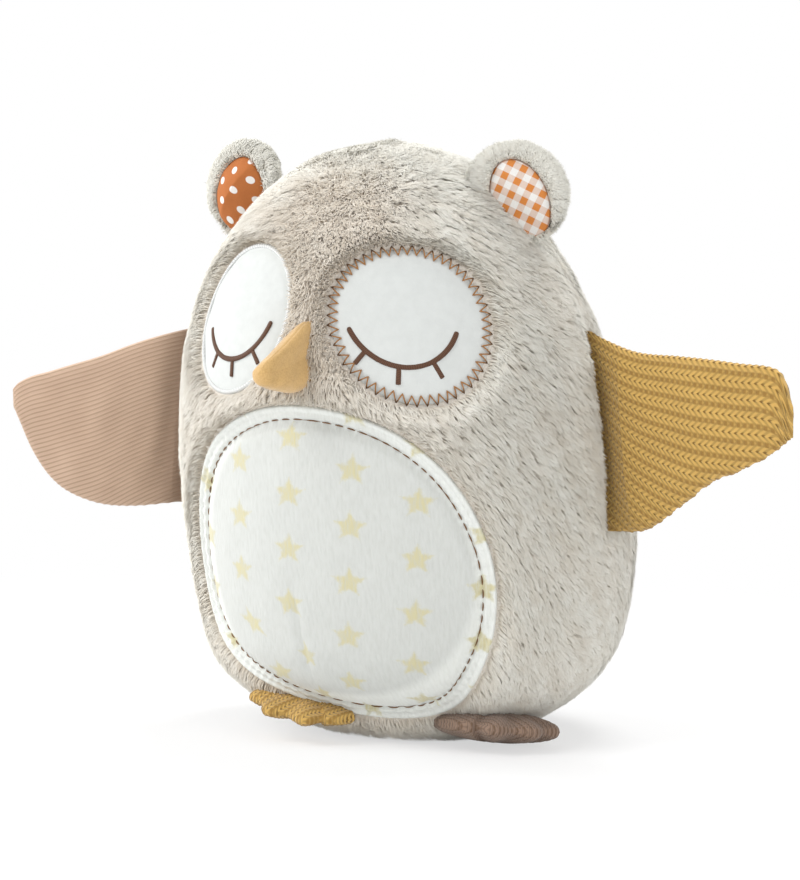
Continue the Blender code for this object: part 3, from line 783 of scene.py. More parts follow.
def locks_on_body(form, turn, length, seed):
    """Roots, middles and tips of locks at places on the body, with their ways out, tones, warmth and
    distances from the patches."""
    rng = np.random.default_rng(seed)
    clear, off = patch_clearance(form, turn, length)
    near = ease(5.0 * MM, 0.3 * MM, clear)
    inset = coat_inset(form, turn, length) + 0.3 * MM
    roots, left_way, up_way, out = form.place(turn, length, inset)
    # The pile leans off the patches, and along the body beside the wings' root seams.
    left, up = comb(form, turn, length, roots)
    left = left + off[:, 0] * near * 0.5
    up = up + off[:, 1] * near * 0.5
    seam_gap, seam_way = wing_clearance(roots)
    beside = ease(9 * MM, 3.5 * MM, seam_gap)
    left = left * (1 - beside) + seam_way * np.sign(turn) * beside * 1.2
    brow = brow_share(form, turn, length)
    crown = crown_share(form, length)
    jitter = rng.normal(size=(2, len(turn))) * (0.24 + 0.22 * brow + 0.36 * crown)
    left, up = left + jitter[0], up + jitter[1]
    way = unit(left_way * left[:, None] + up_way * up[:, None])
    # It is shorter by the patches, at the root seams and under the base.
    low = ease(5 * MM, 13 * MM, roots[:, 2])
    top = sizes().pile_height * (0.92 + 0.16 * ripple(roots, 0.02, 6)) * (1 - 0.6 * near)
    top = top * (1 - 0.85 * beside) - (1 - low) * 1.5 * MM
    height = (inset + top) * rng.uniform(0.84, 1.06, len(turn))
    reach = sizes().pile_reach * rng.uniform(0.7, 1.15, len(turn))
    reach = reach * (1 - 0.25 * near) * (1 - 0.4 * beside) * (1 - 0.3 * brow)
    # No lock reaches far over a patch, and the fringe over the feet is long.
    toward = -(left * off[:, 0] + up * off[:, 1]) / np.hypot(left, up)
    room = np.maximum(clear, 0) + 1.4 * MM
    reach = np.where(toward > 0.05, np.minimum(reach, room / np.maximum(toward, 0.05)), reach)
    fringe = ease(30 * MM, 16 * MM, roots[:, 2]) * ease(105, 85, np.abs(turn))
    reach = reach * (1 + 0.9 * fringe)
    mids = roots + out * (height * 0.66)[:, None] + way * (reach * 0.30)[:, None]
    tips = roots + out * height[:, None] + way * reach[:, None]
    tips[:, 2] = np.maximum(tips[:, 2], 0.6 * MM)
    # It is darker on the brow, warm down the middle, and paler between the eyes and on the crown: that
    # paleness is painted light, lifting the shade of the valley between the eyes and of the crown's whorl.
    face = ease(34, 14, np.abs(turn)) * ease(0.64, 0.60, form.level(length))
    tone = 0.70 + 0.24 * ripple(roots, 0.016, 8) - 0.2 * brow + 0.3 * face + 0.2 * crown
    tone = np.clip(tone + rng.normal(size=len(turn)) * 0.10, 0, 1)
    warmth = ease(62, 10, np.abs(turn + 6)) * ease(1.02, 0.86, roots[:, 2] / sizes().body_height)
    warmth = np.clip(0.25 + 0.5 * warmth + 0.25 * brow + 0.1 * ripple(roots, 0.05, 9), 0, 1)
    return roots, mids, tips, out, tone, warmth, clear


def coat_inset(form, turn, length):
    """How deep the underfur lies: among the locks, deeper at the wings and the base, and under the
    patches where they are."""
    clear, _ = patch_clearance(form, turn, length)
    spots = form.place(turn, length)[0]
    gap, _ = wing_clearance(spots)
    held = np.maximum(ease(9 * MM, 4 * MM, gap), ease(12 * MM, 4 * MM, spots[:, 2]))
    shallow = 3.0 * held - 0.9
    edge = 3.2 - (3.2 - shallow) * ease(-1.0 * MM, 7.0 * MM, clear)
    return (edge + 3.3 * ease(-1.0 * MM, -4.0 * MM, clear)) * MM


class OWL_OT_coat(bpy.types.Operator):
    """Sews the body's underfur from its front, back and base panels"""

    bl_idname = "owl.coat"
    bl_label = "Body underfur"

    def execute(self, context):
        form = BodyForm()
        cloth = coat_cloth()
        start = form.length_at(0.0127)
        panels = (
            ("front_coat", "front_panel", 150, 110, lambda seam: (-seam, seam)),
            ("back_coat_left", "back_panel_left", 60, 70, lambda seam: (seam, 180)),
            ("back_coat_right", "back_panel_right", 60, 70, lambda seam: (180, 360 - seam)),
        )
        for name, node, columns, rows, edges in panels:

            def place(u, v, edges=edges):
                length = start + (form.end - start) * v
                first, last = edges(form.seam(length))
                turn = first + (last - first) * u
                return form.place(turn, length, coat_inset(form, (turn + 180) % 360 - 180, length))[0]

            bm = mapped_grid(columns, rows, place)
            finish_mesh(bm, name, cloth, BODY, (node,))

        def base_place(u, v):
            return form.place(360 * u, start * v, 2.1 * MM * ease(0, 1, v))[0]

        bm = mapped_grid(64, 14, base_place)
        finish_mesh(bm, "base_coat", cloth, BODY, ("base_panel",))
        return {"FINISHED"}


class OWL_OT_pile(bpy.types.Operator):
    """Lays the locks of pile over the whole body"""

    bl_idname = "owl.pile"
    bl_label = "Body pile"

    def execute(self, context):
        form = BodyForm()
        cloth = pile_cloth()
        low = form.length_at(0.02)
        brow = form.length_at(0.80)
        waist = form.length_at(0.46)
        # Each region has its span of lengths and of turns, and the most locks that it may hold.
        regions = (
            ("front_pile_brow", brow, form.end, -96, 96, 46000),
            ("front_pile_left", low, brow, 0, 96, 50000),
            ("front_pile_right", low, brow, -96, 0, 46000),
            ("back_pile_left_high", waist, form.end, 96, 180, 32000),
            ("back_pile_left_low", low, waist, 96, 180, 30000),
            ("back_pile_right_high", waist, form.end, 180, 264, 32000),
            ("back_pile_right_low", low, waist, 180, 264, 30000),
        )
        rng = np.random.default_rng(11)
        for seed, (name, start, end, first, last, count) in enumerate(regions):
            turn, length = scatter(form, rng, count * 2, start, end, first, last)
            wrapped = (turn + 180) % 360 - 180
            clear, _ = patch_clearance(form, wrapped, length)
            gap, _ = wing_clearance(form.place(wrapped, length)[0])
            keep = (clear > 0.2 * MM) & (gap > 3.0 * MM)
            turn, length = wrapped[keep][:count], length[keep][:count]
            roots, mids, tips, outs, tone, warmth, clear = locks_on_body(form, turn, length, seed)
            radius = form.outline(np.linspace(start, end, 60))[0].mean()
            area = math.radians(last - first) * radius * (end - start) * keep.mean()
            pick = rng.choice(len(turn), int(area / sizes().tuft_spacing**2), replace=False)
            pull = 0.38 - 0.13 * brow_share(form, turn, length) - 0.16 * crown_share(form, length)
            pull = ease(0, 4 * MM, clear) * pull
            mids, tips, tuft = gather(roots, mids, tips, roots[pick], tips[pick], pull)
            tuft_tone = rng.normal(size=len(pick)) * 0.08
            tone = np.clip(tone + tuft_tone[tuft], 0, 1)
            widths = sizes().lock_width * rng.uniform(0.75, 1.2, len(turn))
            lay_pile(name, roots, outs, mids, tips, widths, tone, warmth, cloth, BODY)
        return {"FINISHED"}


# Patches and stitches


def felt_cloth():
    """The eye discs' thin felt."""
    cloth = Cloth("white_felt", roughness=0.9, sheen=0.2)
    mottle = cloth.grain(260.0, 4.0)
    disc = colours().disc
    cloth.set("Base Color", cloth.ramp(mottle, (0.35, deeper(disc, 0.96)), (0.65, disc)))
    cloth.bump(cloth.grain(1500.0, 2.0), 0.15 * MM, 0.6)
    return cloth.material


def thread_cloth(name, colour, roughness=0.6):
    """Twisted thread, with fine lines across its way, and painted shade in their grooves and painted
    highlight on their ridges.
    """
    cloth = Cloth(name, roughness=roughness, sheen=0.1)
    lift, _ = twisted(cloth)
    # Painted shade in the grooves between the lines and painted highlight on their ridges.
    ends = (0.0, deeper(colour, 0.62)), (1.0, dyed(colour, 1.2, 1.2, 1.2))
    cloth.set("Base Color", cloth.ramp(lift, *ends))
    return cloth.material


def twisted(cloth):
    """The lift of a thread's fine lines, and the way along the thread."""
    lines_per_metre = 1300.0
    along, around, _ = cloth.weave_place()
    lift = cloth.maths("SINE", (along * lines_per_metre + around * 2) * math.tau).rise(-1.0, 1.0)
    cloth.bump(lift, 0.12 * MM, 0.8)
    return lift, along


def zigzag_cloth(count, length):
    """Zigzag thread that is dark at its outer points and orange at its inner ones."""
    cloth = Cloth("zigzag_thread", roughness=0.6, sheen=0.1)
    lift, along = twisted(cloth)
    outer = abs(cloth.maths("FRACT", along * (count / length)) * 2.0 - 1.0).rise(0.5, 0.95)
    orange = colours().zigzag
    dye = cloth.blend(outer, orange, deeper(orange, 0.22))
    cloth.set("Base Color", cloth.blend(lift * 0.25, dye, deeper(orange, 0.35)))
    return cloth.material


# Each lid's shift to the owl's left, radius, tilt and the places of its lashes along it.
LIDS = {
    "left": (-3.9 * MM, 26.2 * MM, math.radians(-1.0), (0.20, 0.45, 0.70)),
    "right": (2.4 * MM, 25.0 * MM, math.radians(4.5), (0.26, 0.49, 0.73)),
}


class OWL_OT_eyes(bpy.types.Operator):
    """Sews the two eye discs, their edgings and the closed lids with lashes"""

    bl_idname = "owl.eyes"
    bl_label = "Eyes"

    def execute(self, context):
        form = BodyForm()
        eyes = {sign: Patch(form, turn, EYE_LEVEL) for sign, turn in EYE_TURNS.items()}
        felt = felt_cloth()
        satin = thread_cloth("satin_thread", (0.74, 0.75, 0.74), 0.45)
        lid = thread_cloth("lid_thread", colours().lid)
        for name, sign in (("left", 1), ("right", -1)):
            self.disc(eyes[sign], name, sign, felt)
            self.lid(eyes[sign], name, lid)
        self.zigzag(eyes[1])
        self.satin(eyes[-1], satin)
        return {"FINISHED"}

    def disc(self, eye, name, sign, cloth):
        """The disc: a domed top with a rounded edge, and a flat back."""

        def spread(u, v):
            share = np.clip(v / 0.7, 0, 1)
            back = np.clip((v - 0.8) / 0.2, 0, 1)
            full = disc_radius(sign, math.tau * u)
            return ring(full * share * (1 - back) + 0.35 * MM * np.sin(math.pi * ease(0.66, 0.8, v)), u)

        def place(u, v):
            across, up = spread(u, v)
            flat = np.stack([across, up, 0 * up + sign], axis=-1)
            drawn = 0.22 * MM * ripple(flat, 0.016, 21) * ease(0.0, 0.5, v)
            drawn = drawn + 0.2 * MM * ripple(flat, 0.03, 22)
            edge = 0.35 * MM * ease(0.64, 0.7, v) + 1.8 * MM * ease(0.7, 0.8, v)
            return eye.place(across, up, 2.9 * MM + drawn * (v < 0.8) + edge)[0]

        bm = mapped_grid(120, 44, place, spread, False)
        finish_mesh(bm, "eye_disc_" + name, cloth, BODY, ("eye_patch_" + name,))

    def lid(self, eye, name, cloth):
        """The lid's arc with three lashes under it, in raised satin stitch."""
        shift, radius, tilt, lashes = LIDS[name]

        def arc(u, reach=0.0):
            angle = math.pi * (1.11 + 0.78 * u)
            across = shift + (radius + reach) * np.cos(angle)
            up = 5.6 * MM + (radius + reach) * np.sin(angle)
            return turned(across, up, -tilt)

        depth = even(2.8 * MM)
        thick = threads(0.55, 0.05, 130, True)
        parts = [cord(eye, arc, depth, threads(1.22, 0.07, 130, True), thick, 520, 10, 0.064)]
        for share in lashes:
            near = arc(share, 0.4 * MM)
            far = arc(share, 8.4 * MM)

            def lash(u, near=near, far=far):
                return near[0] + (far[0] - near[0]) * u, near[1] + (far[1] - near[1]) * u

            parts.append(cord(eye, lash, depth, threads(1.12, 0.06, 16, True), thick, 66, 10, 0.008))
        finish_mesh(joined(*parts), "lid_stitch_" + name, cloth, BODY, ("eye_lid_" + name,))

    def zigzag(self, eye):
        """The left eye's zigzag stitching over the disc's edge."""
        count, length = 51, 0.6

        def phase(u):
            """0 at an inner point and 1 at an outer one."""
            return np.abs((u * count) % 1 * 2 - 1)

        def path(u):
            return ring((33.3 + 5.0 * phase(u) + 0.2 * np.sin(u * 14 * math.tau)) * MM, u)

        def depth(u):
            return (2.6 - 0.5 * np.sin(math.pi * phase(u)) - 0.2 * phase(u)) * MM

        half = even(0.32 * MM)
        cloth = zigzag_cloth(count, length)
        bm = cord(eye, path, depth, half, half, count * 16, 7, length)
        finish_mesh(bm, "zigzag_stitch", cloth, BODY, ("eye_zigzag_left",))

    def satin(self, eye, cloth):
        """The right eye's edging in dense white satin stitch."""

        def path(u):
            return ring(disc_radius(-1, math.tau * u) + 0.3 * MM, u)

        wide, thick = threads(1.15, 0.06, 400), threads(0.85, 0.05, 400)
        bm = cord(eye, path, even(3.1 * MM), wide, thick, 1600, 8, 0.217)
        finish_mesh(bm, "satin_stitch", cloth, BODY, ("eye_satin_right",))


def oval(u, shrink=0.0):
    """Arc distances across and up on the belly patch's outline, drawn in by shrink."""
    x, y = squared_ring(u, BELLY_POWER)
    share = belly_share(np.arctan2(y, x))
    return (
        x * (sizes().belly_half_width * share - shrink),
        y * (sizes().belly_half_height * share - shrink),
    )


class OWL_OT_belly(bpy.types.Operator):
    """Sews the star print belly patch with its plump rim and running stitches"""

    bl_idname = "owl.belly"
    bl_label = "Belly"

    def execute(self, context):
        belly = Patch(BodyForm(), 0.0, BELLY_LEVEL)
        self.plush(belly)
        self.stitches(belly)
        return {"FINISHED"}

    def plush(self, belly):
        """The patch: a folded rim round a plump middle, and a back turned in under it."""
        middle = (sizes().belly_half_width + sizes().belly_half_height) / 2
        border = 11.0 * MM
        rim = 3.8 * MM

        def shrink(v):
            """How far in from the outline a row of the patch lies."""
            rows = (0.0, 0.42, 0.78, 0.8, 0.9, 1.0)
            return np.interp(v, rows, (middle, border, 0.0, 0.0, 6.0 * MM, middle))

        def spots(u, v):
            gap = shrink(v)
            drawn = np.stack(oval(u, np.minimum(gap, border)), axis=-1)
            part = np.where(gap > border, (middle - gap) / (middle - border), 1.0)
            spot = drawn * np.clip(part, 0, 1)[:, None]
            return spot[:, 0], spot[:, 1]

        def place(u, v):
            across, up = spots(u, v)
            gap = shrink(v)
            flat = np.stack([across, up, 0 * up], axis=-1)
            # The rounded rim, the shelf inside it and the plump middle
            ridge = 3.7 * np.sqrt(np.clip(1 - ((gap - rim / 2) / (rim / 2)) ** 2, 0, 1))
            shelf = 2.1 * ease(2.4 * MM, rim, gap) * ease(6.5 * MM, 5.6 * MM, gap)
            plump = ease(6.6 * MM, 13.0 * MM, gap)
            inset = 5.4 - np.maximum(ridge * (gap < rim), shelf) - 2.1 * plump
            inset = inset - 0.35 * ease(0.01, 0.05, gap)
            # The gathers at the stitches, the uneven filling and the crease low on the owl's right
            pull = 0.28 * np.sin(u * 92 * math.tau + 1.5 * ripple(flat, 0.05, 31))
            inset = inset + pull * ease(10.5 * MM, 6.6 * MM, gap) * ease(0.5 * MM, 4.0 * MM, gap)
            inset = inset + 0.45 * ripple(flat, 0.055, 32) * ease(6.0 * MM, 20.0 * MM, gap)
            crease = np.exp(-(((across + 15.5 * MM + 0.12 * up) / (2.2 * MM)) ** 2))
            inset = inset + 0.9 * crease * ease(-8 * MM, -22 * MM, up) * ease(-62 * MM, -40 * MM, up)
            inset = np.where(v > 0.79, 6.25, inset)
            return belly.place(across, up, inset * MM)[0]

        bm = mapped_grid(460, 90, place, spots, False)
        finish_mesh(bm, "belly_plush", self.star_cloth(), BODY, ("belly_patch",))

    def stitches(self, belly):
        """The line of running stitches inside the rim."""
        count = 79

        def path(u):
            return oval(u, (6.7 + 0.15 * np.sin(u * 37)) * MM)

        def dash(u):
            """1 along a stitch and 0 between two stitches."""
            beat = (u * count) % 1
            return np.clip(1 - np.abs((beat - 0.5) / 0.36) ** 3, 0, 1)

        def depth(u):
            return (5.45 - 0.55 * dash(u)) * MM

        def half(u):
            return (0.11 + 0.18 * dash(u)) * MM

        thread = thread_cloth("top_stitch_thread", deeper(colours().zigzag, 0.55))
        bm = cord(belly, path, depth, half, half, count * 24, 7, 0.52)
        finish_mesh(bm, "running_stitch", thread, BODY, ("belly_topstitch",))

    def star_cloth(self):
        """Short plush with a half drop print of pale stars."""
        cloth = Cloth("star_plush", roughness=0.9, sheen=0.25)
        across, up, spot = cloth.weave_place()
        ink = self.stars(cloth, across, up, (cloth.grain(520.0, 3.0, spot) - 0.5) * 0.0034)
        settings = {"operation": "MULTIPLY"}
        streak = cloth.add("ShaderNodeVectorMath", settings, {0: spot, 1: (1.0, 0.22, 1.0)})
        nap = cloth.grain(800.0, 3.0, streak)
        minky = colours().minky
        ground = cloth.ramp(cloth.grain(60.0, 3.0, spot), (0.3, deeper(minky, 0.97)), (0.7, minky))
        # Towards the rim the ground is painted paler: painted light that lifts the shade the pile and the
        # rim's slope put there.
        far = ((across / sizes().belly_half_width) ** 2 + (up / sizes().belly_half_height) ** 2) ** 0.5
        ground = cloth.blend(far.rise(0.86, 0.95), ground, deeper(minky, 1.24))
        printed = cloth.blend(ink * (nap.rise(0.3, 0.62) * 0.45 + 0.5), ground, colours().star)
        cloth.set("Base Color", cloth.dimmed(printed, nap, (0.93, 0.93, 0.92), 0.6))
        cloth.bump(nap, 0.5 * MM, 0.7)
        return cloth.material

    def stars(self, cloth, across, up, drift):
        """The stars' ink, with its edge moved by drift."""
        wide, high, squash = 0.0312, 0.0256, 1.2
        point, notch, wedge = 0.0082, 0.0041, math.radians(36)
        # The cloth is gathered low on the owl's right, which moves the print there.
        gathered = (1.0 - up.rise(-0.056, -0.016)) * (1.0 - across.rise(-0.025, 0.012))
        x = across + 0.014 - gathered * 0.024
        y = up - 0.008
        below, beside = cloth.staggered(10.0 - (y + x * 0.03) / high, (x - y * 0.1) / wide + 10.0)
        x = beside * wide
        y = below * (-high * squash)
        # Each star is ten wedges, and a wedge's edge runs from the point to the notch.
        turn = cloth.maths("ARCTAN2", x, y)
        angle = abs(cloth.maths("PINGPONG", turn + math.tau, wedge))
        far = cloth.maths("SQRT", x * x + y * y)
        corner = (notch * math.cos(wedge), notch * math.sin(wedge))
        size = math.hypot(corner[1], point - corner[0])
        normal = (corner[1] / size, (point - corner[0]) / size)
        ahead = far * cloth.maths("COSINE", angle) * normal[0]
        aside = far * cloth.maths("SINE", angle) * normal[1]
        return (point * normal[0] - ahead - aside + drift).rise(-0.0009, 0.0013)


# Rows of the beak from root to tip: share of its length, then its half width and height as shares of
# those at the root, and how far it drops as a share of its height.
BEAK_ROWS = (
    (0.00, 0.98, 1.00, 0.000),
    (0.22, 1.00, 1.00, 0.010),
    (0.45, 0.92, 0.82, 0.090),
    (0.66, 0.80, 0.63, 0.160),
    (0.83, 0.64, 0.46, 0.210),
    (0.94, 0.44, 0.31, 0.235),
    (1.00, 0.00, 0.00, 0.245),
)


class OWL_OT_beak(bpy.types.Operator):
    """Sews the stuffed velour beak"""

    bl_idname = "owl.beak"
    bl_label = "Beak"

    def execute(self, context):
        form = BodyForm()
        root = form.place(np.zeros(1), np.array([form.length_at(0.650)]), 6.0 * MM)[0][0]
        root = root + np.array([-5.0 * MM, 0, 0])
        length, half_width, height = 33.0 * MM, 8.75 * MM, 31.5 * MM
        facing = np.array(Matrix.Rotation(math.radians(-5), 3, "Z"))
        rows = smooth_rows(BEAK_ROWS)

        def place(u, v):
            reach = np.sin(np.clip((v - 0.06) / 0.94, 0, 1) * math.pi / 2)
            wide, high, drop = (np.interp(reach, rows[:, 0], rows[:, part]) for part in (1, 2, 3))
            opened = ease(0.0, 0.05, v)
            x, z = squared_ring(u, 2.15)
            lean = 0.22 * np.abs(z) + 0.66 * np.maximum(z, 0) ** 1.4
            side = (x * (1 - 0.30 * z) + lean) * wide * opened * half_width + 0.6 * MM
            up = (z * high * opened / 2 - drop) * height
            return root + np.stack([side, -reach * length, up], axis=-1) @ facing.T

        def dent(u, v):
            """The uneven filling, and the seam along the beak's top."""
            spots = place(u, v)
            seam = np.exp(-((np.abs(((u + 0.5) % 1) - 0.75) * 62 / np.maximum(1 - v, 0.3)) ** 2))
            return (0.25 * ripple(spots, 0.016, 41) - 0.5 * seam * ease(0.98, 0.8, v)) * MM

        bm = mapped_grid(96, 64, raised(place, dent))
        finish_mesh(bm, "beak_cover", self.velour(), BODY, ("beak",))
        return {"FINISHED"}

    def velour(self):
        """Short napped velour with pale and dark patches."""
        cloth = Cloth("beak_velour", roughness=0.9, sheen=0.35)
        nap = cloth.grain(1300.0, 3.0)
        tan = colours().beak
        ends = (0.3, deeper(tan, 0.9)), (0.7, dyed(tan, 1.05, 1.05, 1.05))
        patchy = cloth.ramp(cloth.grain(120.0, 3.0), *ends)
        cloth.set("Base Color", cloth.dimmed(patchy, nap, (0.86, 0.82, 0.76), 0.62))
        cloth.bump(nap, 0.25 * MM, 0.8)
        return cloth.material


# Ears


class EarForm:
    """One ear: a flattened ball, whose frame has x across, y backwards and z towards its tip."""

    width = 42.0 * MM
    height = 40.0 * MM
    lining_half = (19.2 * MM, 12.8 * MM)
    lining_drop = 2.0 * MM

    def __init__(self, sign):
        self.sign = sign
        self.centre = np.array([
            sign * 0.657 * sizes().body_radius - (1.0 if sign > 0 else 2.6) * MM,
            -0.352 * sizes().body_radius,
            0.9167 * sizes().body_height + (0.0 if sign > 0 else 2.2) * MM,
        ])
        self.shift = (3.4 * MM, 1.2 * MM) if sign > 0 else (-2.2 * MM, -0.8 * MM)
        self.tilt = math.radians(sign * -20.0)
        self.thickness = (17.0 if sign > 0 else 21.0) * MM
        self.half = np.array([self.width / 2, self.thickness / 2, self.height / 2])
        facing = Matrix.Rotation(math.radians(sign * 20), 3, "Z")
        lean = Matrix.Rotation(math.radians(sign * 47), 3, "Y")
        self.turn = np.array(facing @ lean)
        hinge = np.array(JOINTS["ear_left_flex" if sign > 0 else "ear_right_flex"]["pos_m"])
        self.seat = float(((hinge - self.centre) @ self.turn)[2]) - 1.2 * MM

    def tilted(self, along, over):
        """Across and up on the lining, whose long way is tilted."""
        across, up = turned(along, over, -self.tilt)
        return across + self.shift[0], up - self.lining_drop + self.shift[1]

    def lining_place(self, across, up):
        """Along and over the lining, as shares of its half sizes."""
        up = up + self.lining_drop
        along, over = turned(across - self.shift[0], up - self.shift[1], self.tilt)
        return along / self.lining_half[0], over / self.lining_half[1]

    def lining_share(self, spots):
        """How far out points lie on the lining: 1 is its edge."""
        return np.hypot(*self.lining_place(spots[:, 0], spots[:, 2]))

    def flare(self, up):
        """The ear's thickness as a share of its full one, which is thin at its seam with the body."""
        grown = np.clip((up - self.seat - 1.2 * MM) / (13.0 * MM), 0, 1)
        thin = 1.7 * MM / self.thickness
        return thin + (1 - thin) * grown

    def world(self, spots):
        """Points of the ear's frame, placed on the owl."""
        return self.centre + spots @ self.turn.T

    def coat(self, ways, grow, dip):
        """Points of the coat in unit directions, grown by a measure and dipping under the lining, and
        their normals, in the ear's frame."""
        spots = ways * self.half
        spots[:, 2] = np.maximum(spots[:, 2], self.seat - 3.0 * MM)
        spots[:, 1] *= self.flare(spots[:, 2])
        normals = unit(ways / self.half)
        printed = ease(1.25, 1.02, self.lining_share(spots)) * (spots[:, 1] < 0)
        return spots + normals * (grow - dip * printed)[:, None], normals


def lining_cloth(ear, name, printed):
    """Cotton that is coloured by printed, with a rust line round the lining's edge."""
    cloth = Cloth(name, roughness=0.85)
    across, up, spot = cloth.weave_place()
    weave = cloth.grain(2200.0, 2.0, spot)
    along, over = ear.lining_place(across, up)
    edge_line = ((along * along + over * over) ** 0.5).rise(0.945, 0.975) * 0.6
    shade = printed(cloth, across, up, weave)
    cloth.set("Base Color", cloth.blend(edge_line, shade, deeper(colours().rust, 0.6)))
    cloth.bump(weave, 0.12 * MM, 0.6)
    return cloth.material


def gingham(cloth, across, up, weave):
    """Checks in two tones on white."""

    def bands(value):
        wave = cloth.maths("FRACT", value / 0.0064 + 8.25)
        return abs(wave - 0.5).rise(0.235, 0.265)

    along, over = turned(across, up, math.radians(22))
    dark = colours().check
    half = tuple(a * 0.42 + b for a, b in zip(dark, (0.43, 0.46, 0.45)))
    stops = (0.0, (0.80, 0.78, 0.75)), (0.5, half), (1.0, dark)
    shade = cloth.ramp((bands(along) + bands(over)) * 0.5, *stops)
    return cloth.dimmed(shade, weave, (0.9, 0.9, 0.9))


def dots(cloth, across, up, weave):
    """Pale dots in staggered rows."""
    step, rows = 0.0092, 0.0092 * 0.86
    along, over = turned(across, up, math.radians(43))
    x, y = cloth.staggered(along / step + 20.1, over / rows + 20.3)
    x, y = x * step, y * rows
    dot = 1.0 - cloth.maths("SQRT", x * x + y * y).rise(0.0016, 0.0019)
    ground = cloth.ramp(weave, (0.3, deeper(colours().rust, 0.88)), (0.7, colours().rust))
    return cloth.blend(dot, ground, (0.80, 0.77, 0.74))


class OWL_OT_ears(bpy.types.Operator):
    """Sews the two fur ears with their printed linings"""

    bl_idname = "owl.ears"
    bl_label = "Ears"

    def execute(self, context):
        coat = coat_cloth()
        pile = pile_cloth("ear_pile", 0.98, 0.4)
        prints = (("left", 1, "gingham", gingham), ("right", -1, "dotted", dots))
        for name, sign, kind, printed in prints:
            ear = EarForm(sign)
            slot = "gingham" if sign > 0 else "polka_dot"
            self.ball(ear, name, coat)
            self.lining(ear, name, lining_cloth(ear, kind + "_cotton", printed), slot)
            self.pile(ear, name, sign, pile)
        return {"FINISHED"}

    def ball(self, ear, name, cloth):
        """The ear's underfur."""

        def place(u, v):
            rise = math.pi * (v - 0.5)
            ways = np.stack([*ring(np.cos(rise), u), np.sin(rise)], axis=-1)
            return ear.world(ear.coat(ways, 0.3 * MM, 2.4 * MM)[0])

        bm = mapped_grid(64, 40, place)
        finish_mesh(bm, "ear_coat_" + name, cloth, "ear_" + name, ("ear_fur_" + name,))

    def lining(self, ear, name, cloth, slot):
        """The printed lining, domed over the ear's front with its edge turned in."""

        def spots(u, v):
            reach = np.interp(v, (0, 0.72, 0.8, 1.0), (0.0, 1.0, 1.0, 0.0))
            along = np.cos(math.tau * u) * ear.lining_half[0] * reach
            over = np.sin(math.tau * u) * ear.lining_half[1] * reach
            return *ear.tilted(along, over), reach

        def place(u, v):
            across, up, reach = spots(u, v)
            inside = 1 - (2 * across / ear.width) ** 2 - (2 * up / ear.height) ** 2
            front = -ear.thickness * ear.flare(up) / 2 * np.sqrt(np.maximum(inside, 0.02))
            flat = np.stack([across, up, 0 * up + ear.sign], axis=-1)
            edge = ease(0.86, 1.0, reach)
            deep = 0.9 - 0.9 * ease(0.0, 0.8, 1 - reach) + 0.6 * edge + 0.35 * ripple(flat, 0.018, 51)
            deep = np.where(v > 0.76, 3.4, deep)
            low = np.maximum(up, ear.seat - 2.0 * MM)
            return ear.world(np.stack([across, front + deep * MM, low], axis=-1))

        def flat(u, v):
            across, up, _ = spots(u, v)
            return across, up

        bm = mapped_grid(96, 36, place, flat, False)
        finish_mesh(bm, "ear_print_" + name, cloth, "ear_" + name, ("ear_lining_" + name,))

    def pile(self, ear, name, sign, cloth):
        """The locks of the ear's pile, which stand up beside the lining."""
        rng = np.random.default_rng(60 + sign)
        count = 24000
        ways = unit(rng.normal(size=(count * 3, 3)))
        weight = np.linalg.norm(ways / ear.half, axis=1)
        ways = ways[rng.uniform(0, weight.max(), len(ways)) < weight]
        spots, normals = ear.coat(ways, 0.1 * MM, 1.3 * MM)
        oval_share = ear.lining_share(spots)
        front = spots[:, 1] < 0
        keep = ((oval_share > 1.0) | ~front) & (spots[:, 2] > ear.seat + 0.5 * MM)
        spots, normals = spots[keep][:count], normals[keep][:count]
        oval_share, front = oval_share[keep][:count], front[keep][:count]
        outward = np.stack([spots[:, 0], 0 * spots[:, 0], spots[:, 2] + 2.0 * MM], axis=-1)
        near = ease(1.35, 1.0, oval_share) * front
        swirl = rng.normal(size=spots.shape) * 0.32
        over_edge = 1 - 0.8 * ease(1.3, 1.0, oval_share) * front
        way = unit(unit(outward) * over_edge[:, None] + swirl + np.array([0, 0.25, -0.15]))
        way = unit(way - normals * np.sum(way * normals, axis=1, keepdims=True))
        size = rng.uniform(0.8, 1.15, len(spots)) * (1 - 0.2 * near)
        height = 3.1 * MM * size
        reach = 4.2 * MM * size * (1 - 0.35 * near)
        roots = ear.world(spots)
        outs = normals @ ear.turn.T
        way = way @ ear.turn.T
        mids = roots + outs * (height * 0.6)[:, None] + way * (reach * 0.3)[:, None]
        tips = roots + outs * height[:, None] + way * reach[:, None]
        pick = rng.choice(len(roots), len(roots) // 40, replace=False)
        pull = np.full(len(roots), 0.3)
        mids, tips, tuft = gather(roots, mids, tips, roots[pick], tips[pick], pull)
        tone = 0.88 + 0.10 * rng.normal(size=len(pick))[tuft]
        tone = np.clip(tone + rng.normal(size=len(roots)) * 0.1, 0, 1)
        widths = sizes().lock_width * 0.9 * rng.uniform(0.75, 1.2, len(roots))
        cool = np.full(len(roots), 0.25)
        body = "ear_" + name
        lay_pile("ear_pile_" + name, roots, outs, mids, tips, widths, tone, cool, cloth, body)


# Knit


# How many stitches the arms of a knit V rise over the width of a rib.
V_SLANT = 2.6


def knit_height(rib, stitch, arms):
    """The relief of ribbed knit, 0 to 1: rib and stitch count its ribs and its stitches."""
    x = rib - np.floor(rib) - 0.5
    column = np.sqrt(np.clip(1 - (np.abs(x) / 0.38) ** 2.4, 0, 1))
    beat = np.cos(math.tau * (stitch - V_SLANT * np.abs(x)))
    dip = np.exp(-((x / 0.06) ** 2))
    loops = 0.5 + 0.5 * np.cos(math.tau * (stitch + 0.5))
    return column * (0.70 + arms * 0.22 * beat - 0.25 * dip * arms) + (1 - column) * 0.30 * loops * arms


